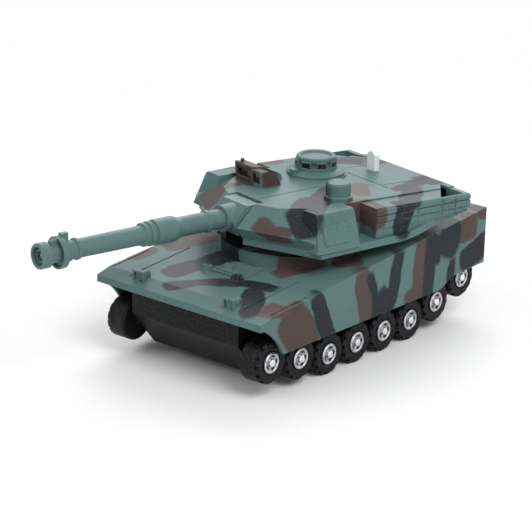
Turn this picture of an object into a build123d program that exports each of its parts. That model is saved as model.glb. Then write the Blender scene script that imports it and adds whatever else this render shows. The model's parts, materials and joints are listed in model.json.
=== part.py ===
"""Toy battle tank with an inertia (flywheel) drive, a turning turret and an elevating gun.

Millimetres, +Z up. The tank's front faces -Y and its left side faces +X.  The hull is drawn
about the middle of its wheelbase, the turret about its own pivot with the gun along -Y, and
everything is moved together at the end so that the origin is the bottom centre of the model.
"""
from build123d import *
import math
import os

# ---------------------------------------------------------------- hull
hull_width = 120.0
hull_front = -102.5          # bow lip, from the middle of the wheelbase
hull_rear = 103.5
bow_top = 47.3
bow_lip = 4.0                # height of the lip along the bow
deck_front = 50.0            # height of the deck where the bow slope ends
deck_break = -92.0           # where the steep bow meets the long deck
deck_rise = 0.085            # rise of the deck per millimetre towards the rear
shell_wall = 1.8
skirt_bottom = 26.0
skirt_front = -83.0          # foot of the front wheel arch
skirt_step = 60.0            # where the skirt starts to rise behind
skirt_rear_rise = 5.5

# ---------------------------------------------------------------- running gear
wheel_pitch = 25.0
wheel_radius = 12.2
wheel_width = 13.0
wheel_face = 55.5            # outer face of the wheels, from the centre plane
wheel_lifts = (8.9, 4.4, 0.0, 0.0, 0.0, 0.0, 4.6, 13.6)
hub_radius = 6.0
hub_pocket = 2.4             # depth of the hubcap's seat
lug_count = 14
lug_depth = 1.3
axle_radius = 1.25
running_gap = 0.08           # radial clearance of a turning shaft
moving_gap = 0.3             # clearance between other moving faces

# ---------------------------------------------------------------- chassis tub
tub_half_width = 39.0
tub_wall = 1.8
tub_floor = 6.5
tub_front = -96.0
tub_rear = 100.0
flange_height = 42.0
flange_thickness = 1.5
screw_radius = 1.3
screw_head_radius = 2.5
screw_head = 1.5
screw_length = 9.0
bay_front, bay_rear = -65.0, -48.0
hull_screw_x = 28.0
hull_screw_y = 72.0

# ---------------------------------------------------------------- flywheel gearbox
gear_module = 0.6
pressure_angle = 20.0
tooth_addendum = 0.65        # stub teeth, in modules
tooth_dedendum = 0.95
tooth_backlash = 0.16
axle_gear_teeth = 20
layshaft_pinion_teeth = 10
layshaft_gear_teeth = 22
flywheel_pinion_teeth = 10
flywheel_above_axle = 12.8   # height of the flywheel's shaft over the driven axles
flywheel_height = wheel_radius + flywheel_above_axle
flywheel_radius = 12.5
flywheel_width = 12.0
gearbox_half_width = 16.6
gearbox_half_length = 20.6
gearbox_wall = 1.4
gearbox_below_axle = 8.2       # from the driven axles down to the gearbox's foot
gearbox_bottom = wheel_radius - gearbox_below_axle
gearbox_shoulder_rise = 2.0   # of the gearbox's shoulder over the flywheel's shaft
gearbox_shoulder = flywheel_height + gearbox_shoulder_rise
mid_plate_x = -4.6
mid_plate_thickness = 1.2
layshaft_pin_radius = 0.8

# ---------------------------------------------------------------- battery box, sound
cell_radius = 5.8
cell_height = 5.4
cell_count = 3
battery_y = 50.0
speaker_radius = 9.6
speaker_height = 4.5
speaker_y = -50.0
board_height = 30.0
board_thickness = 1.2

# ---------------------------------------------------------------- turret
turret_y = -4.4              # pivot, from the middle of the wheelbase
turret_rest_yaw = -12.4      # degrees: the gun points a little to the tank's right
ring_radius = 42.0
ring_top = 61.8
hub_hole_radius = 16.0
turret_bottom = 66.8
nose_height = 77.0           # height of the sharp front edge of the cheeks
roof_height = 89.0
roof_slope_start = 18.0      # the roof falls from here to the rear
roof_drop = 3.0
seam_cut_rise = 6.0            # how far over the roof the cutters of its seams reach
cheek_half_width = 55.0
cheek_nose = -49.0           # front of the cheeks beside the mantlet
cheek_corner = -29.5
bustle_half_width = 40.0
bustle_rear = 87.0
bustle_rise_start = 35.0
bustle_rise = 7.5
rim_half_width = 57.0
rim_height = 4.0
turret_wall = 1.8
base_thickness = 1.8
mantlet_slot = 12.0          # half width of the slot for the gun
mantlet_slot_rear = -30.6
armour_outer = 58.2
armour_lean = 6.7            # how far the armour's top edge stands in from its foot
armour_rear = 2.0
armour_rise = 1.4             # of the armour's top over the roof
armour_top = roof_height + armour_rise
stowage_outer = 55.5
stowage_front = 16.0
stowage_fall = 0.8            # of the stowage row under the roof
stowage_top = roof_height - stowage_fall
stowage_drop = 2.7           # fall of the stowage row towards the rear
stowage_bottom = 71.0

# ---------------------------------------------------------------- gun
gun_height = 80.0
trunnion_y = -31.0
trunnion_radius = 2.0
mantlet_radius = 7.2
mantlet_fall = 0.6            # of the mantlet's cover under the roof
mantlet_top = roof_height - mantlet_fall
barrel_radius = 5.4
muzzle_y = -171.0
led_radius = 2.2

# ---------------------------------------------------------------- roof fittings and button
cupola_rise, viewer_rise, sight_rise, button_rise = 10.8, 9.5, 10.6, 9.6    # tops over the roof
cupola_x, cupola_y, cupola_radius, cupola_top = -18.5, 31.0, 11.5, roof_height + cupola_rise
viewer_x, viewer_y, viewer_radius, viewer_top = 28.5, 9.5, 7.2, roof_height + viewer_rise
sight_x, sight_front, sight_top = -26.5, -14.5, roof_height + sight_rise
sight_width, sight_length = 17.6, 20.0
button_x, button_y = -9.5, 67.0
button_width, button_length = 6.8, 3.6
button_top = roof_height + button_rise
button_travel = 1.5
dome_height = 0.4

inner_half_width = hull_width / 2 - shell_wall
floor_top = tub_floor + tub_wall
flange_top = flange_height + flange_thickness
UP = (0, 0, 1)


def deck(y):
    """Height of the deck at a distance along the hull."""
    return deck_front + deck_rise * (y - deck_break)


def wheel_y(index):
    return (index - 3.5) * wheel_pitch


def axle_z(index):
    return wheel_radius + wheel_lifts[index]


# ================================================================ shape helpers
def along_x(profile, x0, x1):
    """Extrude a closed (y, z) outline along X."""
    points = [(x0, y, z) for y, z in profile]
    return extrude(make_face(Polyline(*points, close=True)), x1 - x0, dir=(1, 0, 0))


def along_z(outline, z0, z1):
    """Extrude a closed (x, y) outline upwards."""
    points = [(x, y, z0) for x, y in outline]
    return extrude(make_face(Polyline(*points, close=True)), z1 - z0, dir=UP)


def block(x0, x1, y0, y1, z0, z1):
    return Pos((x0 + x1) / 2, (y0 + y1) / 2, (z0 + z1) / 2) * Box(x1 - x0, y1 - y0, z1 - z0)


def rod(axis, radius, start, end, a, b):
    """A cylinder along one axis; a and b are its centre on the other two, in X, Y, Z order."""
    if axis == "x":
        plane = Plane(origin=(start, a, b), z_dir=(1, 0, 0))
    elif axis == "y":
        plane = Plane(origin=(a, start, b), z_dir=(0, 1, 0))
    else:
        plane = Plane(origin=(a, b, start), z_dir=(0, 0, 1))
    return plane * Cylinder(radius, end - start, align=(Align.CENTER, Align.CENTER, Align.MIN))


def turned(profile, plane):
    """Revolve a closed (radius, distance) outline about the plane's z direction."""
    section = make_face(Polyline(*[(r, 0, d) for r, d in profile], close=True))
    return plane * revolve(section, Axis.Z)


def mirrored(outline):
    """Complete a right-hand outline, front to rear, with its left-hand half."""
    return list(outline) + [(-x, y) for x, y in reversed(outline)]


def cut_beyond(body, points, outward):
    """Cut away what lies beyond the plane through three points, on the outward side."""
    a, b, c = [Vector(*p) for p in points]
    normal = (b - a).cross(c - a).normalized()
    if normal.dot(Vector(*outward)) < 0:
        normal = normal * -1
    size = 400.0
    waste = Plane(origin=a, z_dir=normal) * Box(size, size, size, align=(Align.CENTER, Align.CENTER, Align.MIN))
    return body - waste


def group(solids):
    return Compound(children=list(solids))


# ================================================================ hull shell
def hull_profile():
    """Side outline of the hull shell, with the arch over the front wheel."""
    low_rear = skirt_bottom + skirt_rear_rise
    straight = Polyline(
        (0, skirt_front, skirt_bottom), (0, skirt_step, skirt_bottom),
        (0, skirt_step + 12, low_rear), (0, hull_rear, low_rear + 1),
        (0, hull_rear, deck(hull_rear)), (0, deck_break, deck_front),
        (0, hull_front, bow_top), (0, hull_front, bow_top - bow_lip))
    arch_top = (0, hull_front + 3, bow_top - bow_lip)
    lip = Line((0, hull_front, bow_top - bow_lip), arch_top)
    arch = ThreePointArc(arch_top, (0, -91.0, 37.0), (0, skirt_front, skirt_bottom))
    return make_face(Wire([*straight.edges(), lip, arch]))


def hull_screw_places():
    return [(sx * hull_screw_x, sy * hull_screw_y) for sx in (-1, 1) for sy in (-1, 1)]


def periscope(x, y):
    z = deck(y)
    return along_x([(y - 2, z - 1), (y + 3, z - 1), (y + 3, z + 3.4), (y, z + 3.4)], x - 2.6, x + 2.6)


def driver_bay():
    """Raised rim round the driver's hatch, with a periscope either side of it."""
    y0, y1 = bay_front, bay_rear
    rim = along_x([(y0, deck(y0) - 1), (y1, deck(y1) - 1), (y1, deck(y1) + 1.2), (y0, deck(y0) + 1.2)], -15, 15)
    y0, y1 = y0 + 2, y1 - 2
    well = along_x([(y0, deck(y0)), (y1, deck(y1)), (y1, 80), (y0, 80)], -13, 13)
    return rim - well + periscope(-11, bay_front - 1.5) + periscope(11, bay_front - 1.5)


def headlight(side):
    """Lamp pod with its bent guard on the bow slope."""
    x = side * 33.0
    y0, y1 = -97.0, -90.0
    lamp = rod("y", 2.4, y0, y1, x, deck(y0) + 1.6)
    foot = block(x - 2, x + 2, y0 + 1, y1, deck(y0) - 2, deck(y0) + 1)
    legs = [block(x + s - 0.5, x + s + 0.5, y0 - 1, y0 + 1, deck(y0) - 3, deck(y0) + 4.6) for s in (-3.6, 3.6)]
    bar = block(x - 4.1, x + 4.1, y0 - 1, y0 + 1, deck(y0) + 4.0, deck(y0) + 5.2)
    return lamp + foot + legs[0] + legs[1] + bar


def fender_groove(side):
    """Joint between a fender and the sloping bow plate."""
    x = side * 41.0
    y0, y1 = hull_front + 5, -46.0
    return along_x([(y0, deck(y0) - 0.8), (y1, deck(y1) - 0.8), (y1, deck(y1) + 2), (y0, deck(y0) + 2)],
                   x - 0.5, x + 0.5)


def skirt_groove(side):
    """Joint along the top of the skirt over the front mudguard."""
    x = side * (hull_width / 2 - 2.2)
    y0, y1 = deck_break, -62.0
    return along_x([(y0, deck(y0) - 0.9), (y1, deck(y1) - 0.9), (y1, deck(y1) + 2), (y0, deck(y0) + 2)],
                   x - 0.5, x + 0.5)


def engine_louvres():
    """Cooling slots across the rear deck, left and right of a middle rib."""
    slots = []
    for row in range(8):
        y = 58.0 + 5.0 * row
        for side in (-1, 1):
            slots.append(block(side * 26 - 20, side * 26 + 20, y, y + 2.0, deck(y) - 0.9, deck(y) + 2))
    return group(slots)


def rear_grille():
    """Horizontal louvres of the two exhaust doors in the rear plate."""
    slots = []
    for row in range(6):
        z = 40.0 + 3.4 * row
        for side in (-1, 1):
            slots.append(block(side * 20 - 17, side * 20 + 17, hull_rear - 0.9, hull_rear + 1, z, z + 1.5))
    return group(slots)


def rear_fittings():
    """Tail lamps and tow lugs on the rear plate."""
    parts = []
    for side in (-1, 1):
        parts.append(rod("y", 2.6, hull_rear - 1, hull_rear + 1.6, side * 48.0, 56.0))
        lug = block(side * 44 - 2, side * 44 + 2, hull_rear - 1, hull_rear + 3, 37.0, 44.0)
        parts.append(lug - rod("x", 1.3, side * 44 - 4, side * 44 + 4, hull_rear + 1.4, 40.5))
    return parts


def upper_hull():
    shell = extrude(hull_profile(), hull_width / 2, dir=(1, 0, 0), both=True)
    inner_front = hull_front + 3.5
    inner_rear = hull_rear - shell_wall
    hollow = along_x([(inner_front, 0), (inner_front, bow_top - shell_wall),
                      (deck_break, deck_front - shell_wall),
                      (inner_rear, deck(inner_rear) - shell_wall), (inner_rear, 0)],
                     -inner_half_width, inner_half_width)
    shell = shell - hollow
    collar = rod("z", ring_radius, deck(turret_y) - 6, ring_top, 0, turret_y)
    under = along_x([(-80, 0), (-80, deck(-80) - shell_wall), (80, deck(80) - shell_wall), (80, 0)], -50, 50)
    boss = rod("z", hub_hole_radius + 6, 53.5, ring_top - 1, 0, turret_y)
    shell = shell + (collar - under) + boss
    for x, y in hull_screw_places():
        shell = shell + rod("z", 3.6, floor_top + 0.2, deck(y) - 1, x, y)
    shell = shell + driver_bay() + headlight(-1) + headlight(1)
    for fitting in rear_fittings():
        shell = shell + fitting
    shell = shell - rod("z", hub_hole_radius, 40, 80, 0, turret_y)
    for x, y in hull_screw_places():
        shell = shell - rod("z", screw_radius - 0.2, floor_top - 1, floor_top + screw_length, x, y)
    for side in (-1, 1):
        shell = shell - fender_groove(side) - skirt_groove(side)
    shell = shell - engine_louvres() - rear_grille()
    return shell


def driver_hatch():
    """The driver's hatch lid, dropped into its rim, with its middle periscope."""
    y0, y1 = bay_front + 2.2, bay_rear - 2.2
    lid = along_x([(y0, deck(y0) + 0.05), (y1, deck(y1) + 0.05), (y1, deck(y1) + 1.6), (y0, deck(y0) + 1.6)],
                  -12.8, 12.8)
    y = y0 + 3
    z = deck(y)
    return lid + along_x([(y - 2, z + 1), (y + 3, z + 1), (y + 3, z + 4.2), (y, z + 4.2)], -3, 3)


# ================================================================ chassis
def gearbox_screw_places():
    return [(sx * 9.5, sy * (gearbox_half_length + 3.4)) for sx in (-1, 1) for sy in (-1, 1)]


door_screw_place = (0.0, battery_y + cell_radius + 6.4)
door_screw_seat = tub_floor - 0.2
door_screw_gap = 0.25        # between the door screw's tip and the axle over it
door_screw_length = wheel_radius + wheel_lifts[6] - axle_radius - door_screw_gap - door_screw_seat


def tub_outline(inset):
    return [(-78 + 0.4 * inset, tub_floor + inset), (tub_front + inset, 28 + 0.3 * inset),
            (tub_front + inset, flange_top if inset == 0 else 90), (tub_rear - inset, flange_top if inset == 0 else 90),
            (tub_rear - inset, 18), (tub_rear - 10 - 0.4 * inset, tub_floor + inset)]


def battery_box():
    """Walls and roof of the battery compartment, standing on the tub floor."""
    half_x = cell_count * cell_radius + 1.2
    half_y = cell_radius + 1.0
    top = floor_top + cell_height + 1.6
    outer = block(-half_x - 1.4, half_x + 1.4, battery_y - half_y - 1.4, battery_y + half_y + 1.4,
                  floor_top - 0.5, top + 1.2)
    return outer, block(-half_x, half_x, battery_y - half_y, battery_y + half_y, tub_floor - 1, top)


def chassis():
    tub = along_x(tub_outline(0), -tub_half_width, tub_half_width)
    rim = block(-inner_half_width + 0.15, inner_half_width - 0.15, hull_front + 3.8, hull_rear - shell_wall - 0.15,
                flange_height, flange_top)
    hollow = along_x(tub_outline(tub_wall), -tub_half_width + tub_wall, tub_half_width - tub_wall)
    tub = tub + rim - hollow
    outer, pocket = battery_box()
    door_half_x = cell_count * cell_radius + 3.5
    door_recess = block(-door_half_x, door_half_x, battery_y - cell_radius - 2, battery_y + cell_radius + 9,
                        tub_floor - 1, tub_floor + 1.0)
    screw_post = rod("z", 3.0, floor_top - 0.5, floor_top + screw_length, *door_screw_place)
    tub = tub + outer + screw_post - pocket - door_recess
    tub = tub - rod("z", screw_radius - 0.2, tub_floor, floor_top + screw_length - 1.2, *door_screw_place)
    tub = tub - block(-gearbox_half_width - 0.3, gearbox_half_width + 0.3,
                      -gearbox_half_length - 0.3, gearbox_half_length + 0.3, 0, floor_top + 1)
    for x in (-12.0, 12.0):
        for y in (31.0, 69.0):
            tub = tub + rod("z", 2.2, floor_top - 0.5, board_height, x, y)
    tub = tub + (rod("z", speaker_radius + 1.6, floor_top - 0.5, floor_top + 2.5, 0, speaker_y)
                 - rod("z", speaker_radius + 0.1, floor_top - 1, floor_top + 3, 0, speaker_y))
    for step in range(6):
        angle = math.radians(60 * step)
        tub = tub - rod("z", 1.1, 0, floor_top + 1, 5.4 * math.cos(angle), speaker_y + 5.4 * math.sin(angle))
    for x, y in hull_screw_places() + gearbox_screw_places():
        tub = tub - rod("z", screw_radius + 0.15, 0, floor_top + 1, x, y)
    for index in range(8):
        tub = tub - rod("x", axle_radius + running_gap, -tub_half_width - 1, tub_half_width + 1,
                        wheel_y(index), axle_z(index))
    return tub


def battery_door():
    half_x = cell_count * cell_radius + 3.3
    plate = block(-half_x, half_x, battery_y - cell_radius - 1.8, battery_y + cell_radius + 8.8,
                  tub_floor - 0.2, tub_floor + 1.0)
    return plate - rod("z", screw_radius + 0.15, 0, tub_floor + 2, *door_screw_place)


def screw(x, y, seat, length=screw_length):
    """A pan-head self-tapping screw driven upwards, with its head under the seat."""
    head = turned([(0, 0), (screw_head_radius - 0.5, 0), (screw_head_radius, 0.5), (screw_head_radius, screw_head),
                   (screw_radius - 0.25, screw_head), (screw_radius - 0.25, screw_head + length - 1),
                   (0, screw_head + length)], Plane(origin=(x, y, seat - screw_head)))
    slot = 0.5
    cross = block(x - 1.5, x + 1.5, y - slot / 2, y + slot / 2, seat - screw_head - 1, seat - screw_head + 0.7)
    cross = cross + block(x - slot / 2, x + slot / 2, y - 1.5, y + 1.5, seat - screw_head - 1, seat - screw_head + 0.7)
    return head - cross


def chassis_screws():
    screws = [screw(x, y, tub_floor) for x, y in hull_screw_places() + gearbox_screw_places()]
    screws.append(screw(*door_screw_place, door_screw_seat, door_screw_length))
    return group(screws)


def button_cells():
    z0 = tub_floor + 1.4
    places = [(i - (cell_count - 1) / 2) * 2 * (cell_radius + 0.3) for i in range(cell_count)]
    profile = [(0, 0), (cell_radius - 0.4, 0), (cell_radius, 0.4), (cell_radius, cell_height - 0.8),
               (cell_radius - 0.9, cell_height), (0, cell_height)]
    return group(turned(profile, Plane(origin=(x, battery_y, z0))) for x in places)


def battery_contacts():
    """Spring strips above and below the row of cells."""
    pitch = 2 * (cell_radius + 0.3)
    z_top = floor_top + cell_height + 1.6
    z_low = tub_floor + 1.0
    upper = [block(-pitch * 1.45, pitch * 0.4, battery_y - 2.5, battery_y + 2.5, z_top - 0.35, z_top),
             block(pitch * 0.6, pitch * 1.4, battery_y - 2.5, battery_y + 2.5, z_top - 0.35, z_top)]
    lower = [block(-pitch * 0.4, pitch * 1.4, battery_y - 2.5, battery_y + 2.5, z_low, z_low + 0.35)]
    return group(upper + lower)


def circuit_board():
    """The sound and light board on its four posts, with its chip and capacitor."""
    board = block(-15, 15, 28, 72, board_height, board_height + board_thickness)
    top = board_height + board_thickness
    board = board + block(-5, 5, 42, 52, top, top + 1.2) + rod("z", 3.0, top, top + 7, 8, 62)
    return board + block(-12, -4, 30, 34, top, top + 4)


def speaker():
    profile = [(0, 0.4), (3.5, 1.0), (speaker_radius - 1.6, 0.4), (speaker_radius - 1.2, 0), (speaker_radius, 0),
               (speaker_radius, 1.4), (speaker_radius - 3, 2.4), (speaker_radius - 3, speaker_height),
               (0, speaker_height)]
    return turned(profile, Plane(origin=(0, speaker_y, floor_top)))


# ================================================================ gears
def involute_gear(teeth, width, bore, turn):
    """A spur gear about +Z from z = 0, its first tooth turned by an angle in degrees."""
    pitch_radius = gear_module * teeth / 2
    base_radius = pitch_radius * math.cos(math.radians(pressure_angle))
    tip_radius = pitch_radius + tooth_addendum * gear_module
    root_radius = pitch_radius - tooth_dedendum * gear_module
    phi = math.radians(pressure_angle)
    half_tooth = (math.pi * gear_module / 2 - tooth_backlash / 2) / (2 * pitch_radius)

    def flank_angle(radius):
        alpha = math.acos(min(1.0, base_radius / radius))
        return half_tooth + (math.tan(phi) - phi) - (math.tan(alpha) - alpha)

    start = max(base_radius, root_radius)
    radii = [start + (tip_radius - start) * step / 3 for step in range(4)]
    points = []
    for tooth in range(teeth):
        centre = math.radians(turn) + 2 * math.pi * tooth / teeth
        flank = [(r, flank_angle(r)) for r in radii]
        if root_radius < start:
            flank.insert(0, (root_radius, flank_angle(start)))
        points += [(r * math.cos(centre - a), r * math.sin(centre - a)) for r, a in flank]
        points += [(r * math.cos(centre + a), r * math.sin(centre + a)) for r, a in reversed(flank)]
    blank = extrude(make_face(Polyline(*points, close=True)), width)
    return blank - rod("z", bore, -1, width + 1, 0, 0)


def mesh_turn(own_teeth, angle_to_mate, mate_teeth, mate_turn):
    """Turn of a gear that puts a gap where its mate's tooth comes in."""
    mate_side = angle_to_mate + 180.0
    mate_phase = ((mate_side - mate_turn) * mate_teeth / 360.0) % 1.0
    return angle_to_mate - 360.0 / own_teeth * (0.5 - mate_phase)


def layshaft_place(side):
    """(y, z) of a layshaft: one centre distance from its axle, the other from the flywheel."""
    ay, az = side * wheel_pitch / 2, axle_z(3)
    reach_axle = gear_module * (axle_gear_teeth + layshaft_pinion_teeth) / 2
    reach_fly = gear_module * (layshaft_gear_teeth + flywheel_pinion_teeth) / 2
    dy, dz = -ay, flywheel_height - az
    span = math.hypot(dy, dz)
    along = (reach_axle ** 2 - reach_fly ** 2 + span ** 2) / (2 * span)
    off = math.sqrt(reach_axle ** 2 - along ** 2)
    return (ay + along * dy / span + side * off * dz / span, az + along * dz / span - side * off * dy / span)


def place_gear(gear, x, y, z):
    """Stand a gear drawn about +Z on a shaft along X: its local x becomes Y and its y becomes Z."""
    return Plane(origin=(x, y, z), x_dir=(0, 1, 0), z_dir=(1, 0, 0)) * gear


def angle_between(a, b):
    return math.degrees(math.atan2(b[1] - a[1], b[0] - a[0]))


flywheel_place = (0.0, flywheel_height)
flywheel_pinion_turn = 0.0
gear_mesh_x = -8.6           # plane between the two gear stages
gear_stage_width = 3.6


def layshaft_turn(side):
    place = layshaft_place(side)
    return mesh_turn(layshaft_gear_teeth, angle_between(place, flywheel_place),
                     flywheel_pinion_teeth, flywheel_pinion_turn)


def axle_gear_turn(side):
    axle = (side * wheel_pitch / 2, axle_z(3))
    return mesh_turn(axle_gear_teeth, angle_between(axle, layshaft_place(side)),
                     layshaft_pinion_teeth, layshaft_turn(side))


def compound_gear(side):
    """Layshaft gear and pinion in one moulding, turning on its fixed pin."""
    bore = layshaft_pin_radius + 0.05
    turn = layshaft_turn(side)
    wheel = involute_gear(layshaft_gear_teeth, gear_stage_width - 0.3, bore, turn)
    pinion = involute_gear(layshaft_pinion_teeth, gear_stage_width + 2.4, bore, turn)
    y, z = layshaft_place(side)
    return place_gear(wheel, gear_mesh_x, y, z) + place_gear(pinion, gear_mesh_x - gear_stage_width - 2.4, y, z)


def axle_gear(side):
    """The gear pressed on a driven axle, with its boss."""
    gear = involute_gear(axle_gear_teeth, gear_stage_width, axle_radius, axle_gear_turn(side))
    y, z = side * wheel_pitch / 2, axle_z(3)
    x = gear_mesh_x - gear_stage_width - 0.6
    boss = rod("x", 3.0, x - 1.6, x, y, z) - rod("x", axle_radius, x - 3, x + 1, y, z)
    return place_gear(gear, x, y, z) + boss


def flywheel_pinion():
    gear = involute_gear(flywheel_pinion_teeth, gear_stage_width, 1.0, flywheel_pinion_turn)
    return place_gear(gear, gear_mesh_x - 0.2, *flywheel_place)


def flywheel():
    """Turned steel disc, thinned between its heavy rim and its boss."""
    r, w = flywheel_radius, flywheel_width
    x0 = mid_plate_x + mid_plate_thickness + 1.2
    profile = [(1.0, 0), (3.2, 0), (3.2, 1.2), (8.6, 3.4), (8.6, 0.8), (r - 0.6, 0.8), (r, 1.4),
               (r, w - 1.4), (r - 0.6, w - 0.8), (8.6, w - 0.8), (8.6, w - 3.4), (3.2, w - 1.2), (3.2, w), (1.0, w)]
    return turned(profile, Plane(origin=(x0, *flywheel_place), z_dir=(1, 0, 0)))


def flywheel_shaft():
    end = gearbox_half_width - 0.4
    return rod("x", 1.0, -end, end, *flywheel_place)


def layshaft_pins():
    start = -gearbox_half_width + 0.3
    end = mid_plate_x + mid_plate_thickness - 0.1
    return group(rod("x", layshaft_pin_radius, start, end, *layshaft_place(side)) for side in (-1, 1))


# ================================================================ gearbox housing
def gearbox_section(inset, x0, x1):
    """Housing outline between two X planes: a base box and a drum round the flywheel."""
    base = block(x0, x1, -gearbox_half_length + inset, gearbox_half_length - inset,
                 gearbox_bottom + inset, gearbox_shoulder - inset)
    drum = rod("x", flywheel_radius + 2.8 - inset, x0, x1, 0, flywheel_height)
    return base + drum


def gearbox_bores(part):
    part = part - rod("x", 1.0 + running_gap, -30, 30, *flywheel_place)
    for side in (-1, 1):
        part = part - rod("x", axle_radius + running_gap, -30, 30, side * wheel_pitch / 2, axle_z(3))
        part = part - rod("x", layshaft_pin_radius, -30, 0, *layshaft_place(side))
    return part


def gearbox_ears(x0, x1):
    """Mounting feet that rest on the tub floor in front of and behind the housing."""
    reach = gearbox_half_length + 7.0
    feet = block(x0, x1, -reach, -gearbox_half_length + 0.5, floor_top, floor_top + 1.8)
    return feet + block(x0, x1, gearbox_half_length - 0.5, reach, floor_top, floor_top + 1.8)


def gearbox_half(x0, x1, wall_side):
    """One cup of the housing; wall_side is -1 when its closed face is at x0."""
    inner0 = x0 + gearbox_wall if wall_side < 0 else x0 - 1
    inner1 = x1 + 1 if wall_side < 0 else x1 - gearbox_wall
    cup = gearbox_section(0, x0, x1) - gearbox_section(gearbox_wall, inner0, inner1) + gearbox_ears(x0, x1)
    for x, y in gearbox_screw_places():
        if x0 < x < x1:
            cup = cup + rod("z", 3.0, floor_top + 1, floor_top + screw_length - 1, x, y)
            cup = cup - rod("z", screw_radius - 0.2, floor_top - 1, floor_top + screw_length - 1.8, x, y)
    return gearbox_bores(cup)


def gearbox_left_half():
    return gearbox_half(-gearbox_half_width, mid_plate_x, -1)


def gearbox_right_half():
    return gearbox_half(mid_plate_x + mid_plate_thickness, gearbox_half_width, 1)


def gearbox_mid_plate():
    return gearbox_bores(gearbox_section(0, mid_plate_x, mid_plate_x + mid_plate_thickness))


# ================================================================ wheels
def wheel_plane(index, side, x):
    """Frame whose z points outwards from the tank, at a wheel's axle."""
    return Plane(origin=(side * x, wheel_y(index), axle_z(index)), x_dir=(0, side, 0), z_dir=(side, 0, 0))


def wheel(index, side):
    """A moulded wheel with a shouldered tread, side lugs and a seat for its hubcap."""
    r, w = wheel_radius, wheel_width
    boss = wheel_face - w - tub_half_width - moving_gap
    profile = [(axle_radius, -boss), (3.0, -boss), (3.0, 0), (r - 1.0, 0), (r, 1.0), (r, w - 1.0), (r - 1.0, w),
               (hub_radius + 1.8, w), (hub_radius + 0.2, w - 0.9), (hub_radius + 0.2, w - hub_pocket),
               (axle_radius, w - hub_pocket)]
    plane = wheel_plane(index, side, wheel_face - w)
    body = turned(profile, plane)
    slot = Box(lug_depth * 2, 2.0, 3.2)
    for step in range(lug_count):
        angle = 360.0 / lug_count * step
        body = body - plane * (Rot(0, 0, angle) * Pos(r, 0, w) * slot)
    return body


def hubcap(index, side):
    """A domed cap with a raised centre, pressed into the wheel."""
    profile = [(0, 0), (hub_radius, 0), (hub_radius, hub_pocket + 0.2), (hub_radius - 0.8, hub_pocket + 0.8),
               (hub_radius - 1.5, hub_pocket + 0.4), (2.6, hub_pocket - 0.4), (2.2, hub_pocket + 0.9),
               (1.4, hub_pocket + 1.3), (0, hub_pocket + 1.3)]
    return turned(profile, wheel_plane(index, side, wheel_face - hub_pocket))


def axle_shaft(index):
    end = wheel_face - hub_pocket - 0.1
    return rod("x", axle_radius, -end, end, wheel_y(index), axle_z(index))


# ================================================================ turret shell
def nose_shift(distance, z, u, v):
    """Move a point of the cheek's nose line inwards, square to the line, at another height."""
    du, dv = cheek_half_width - mantlet_slot, cheek_corner - cheek_nose
    size = math.hypot(du, dv)
    return (u - distance * dv / size, v + distance * du / size, z)


def roof_at(v):
    """Height of the turret's roof at a distance along it."""
    return roof_height - max(0.0, v - roof_slope_start) * roof_drop / (bustle_rear - roof_slope_start)


def turret_mass(inset):
    """The turret's main body, with every face moved inwards by an inset."""
    front_in = inset * 1.4
    outline = [(0, cheek_nose + front_in), (mantlet_slot, cheek_nose + front_in),
               (cheek_half_width - inset, cheek_corner + front_in),
               (cheek_half_width - inset, -4 - inset), (bustle_half_width - inset, -4 - inset),
               (bustle_half_width - inset, bustle_rear - inset), (0, bustle_rear - inset)]
    bottom = turret_bottom if inset == 0 else turret_bottom - 5
    body = along_z(mirrored(outline[1:-1]), bottom, roof_height - inset)
    inner, outer = (mantlet_slot, cheek_nose), (cheek_half_width, cheek_corner)
    for side in (-1, 1):
        def at(distance, z, point):
            u, v, height = nose_shift(distance + inset, z, *point)
            return (side * u, v, height)
        lean = [at(0, nose_height, inner), at(0, nose_height, outer), at(11, roof_height, inner)]
        body = cut_beyond(body, lean, (side * 0.4, -0.9, 1))
        undercut = [at(0, nose_height, inner), at(0, nose_height, outer), at(6, turret_bottom, inner)]
        body = cut_beyond(body, undercut, (side * 0.4, -0.9, -1))
        crease = [(side * (25 - inset), -31 + inset, roof_height), (side * (52 - inset), -30 + inset, nose_height),
                  (side * (47 - inset), 0, roof_height)]
        body = cut_beyond(body, crease, (side, -1, 1))
    rise = [(0, bustle_rise_start, turret_bottom + inset), (10, bustle_rise_start, turret_bottom + inset),
            (0, bustle_rear, turret_bottom + bustle_rise + inset)]
    if inset == 0:
        body = cut_beyond(body, rise, (0, 0, -1))
    fall = [(u, v, roof_at(v) - inset) for u, v in ((0, roof_slope_start), (10, roof_slope_start), (0, bustle_rear))]
    return cut_beyond(body, fall, UP)


def rim_outline(inset):
    half = rim_half_width - inset
    back = 52.0 - inset
    return mirrored([(mantlet_slot, -44.5 + inset * 1.2), (half, -24.6 + inset * 0.9), (half, 45), (back + 2, 60),
                     (back, bustle_rear - inset)])


def turret_rim():
    """Flange round the foot of the turret, rising with the underside of the bustle."""
    rim = along_z(rim_outline(0), turret_bottom, turret_bottom + bustle_rise + rim_height)
    upper = [(0, bustle_rise_start, turret_bottom + rim_height), (10, bustle_rise_start, turret_bottom + rim_height),
             (0, bustle_rear, turret_bottom + bustle_rise + rim_height)]
    flat = along_z(rim_outline(0), turret_bottom, turret_bottom + rim_height)
    flat = flat & block(-80, 80, -80, bustle_rise_start, 0, 200)
    tail = cut_beyond(rim, upper, (0, 0, 1)) & block(-80, 80, bustle_rise_start, 120, 0, 200)
    lower = [(0, bustle_rise_start, turret_bottom), (10, bustle_rise_start, turret_bottom),
             (0, bustle_rear, turret_bottom + bustle_rise)]
    return flat + cut_beyond(tail, lower, (0, 0, -1))


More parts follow.
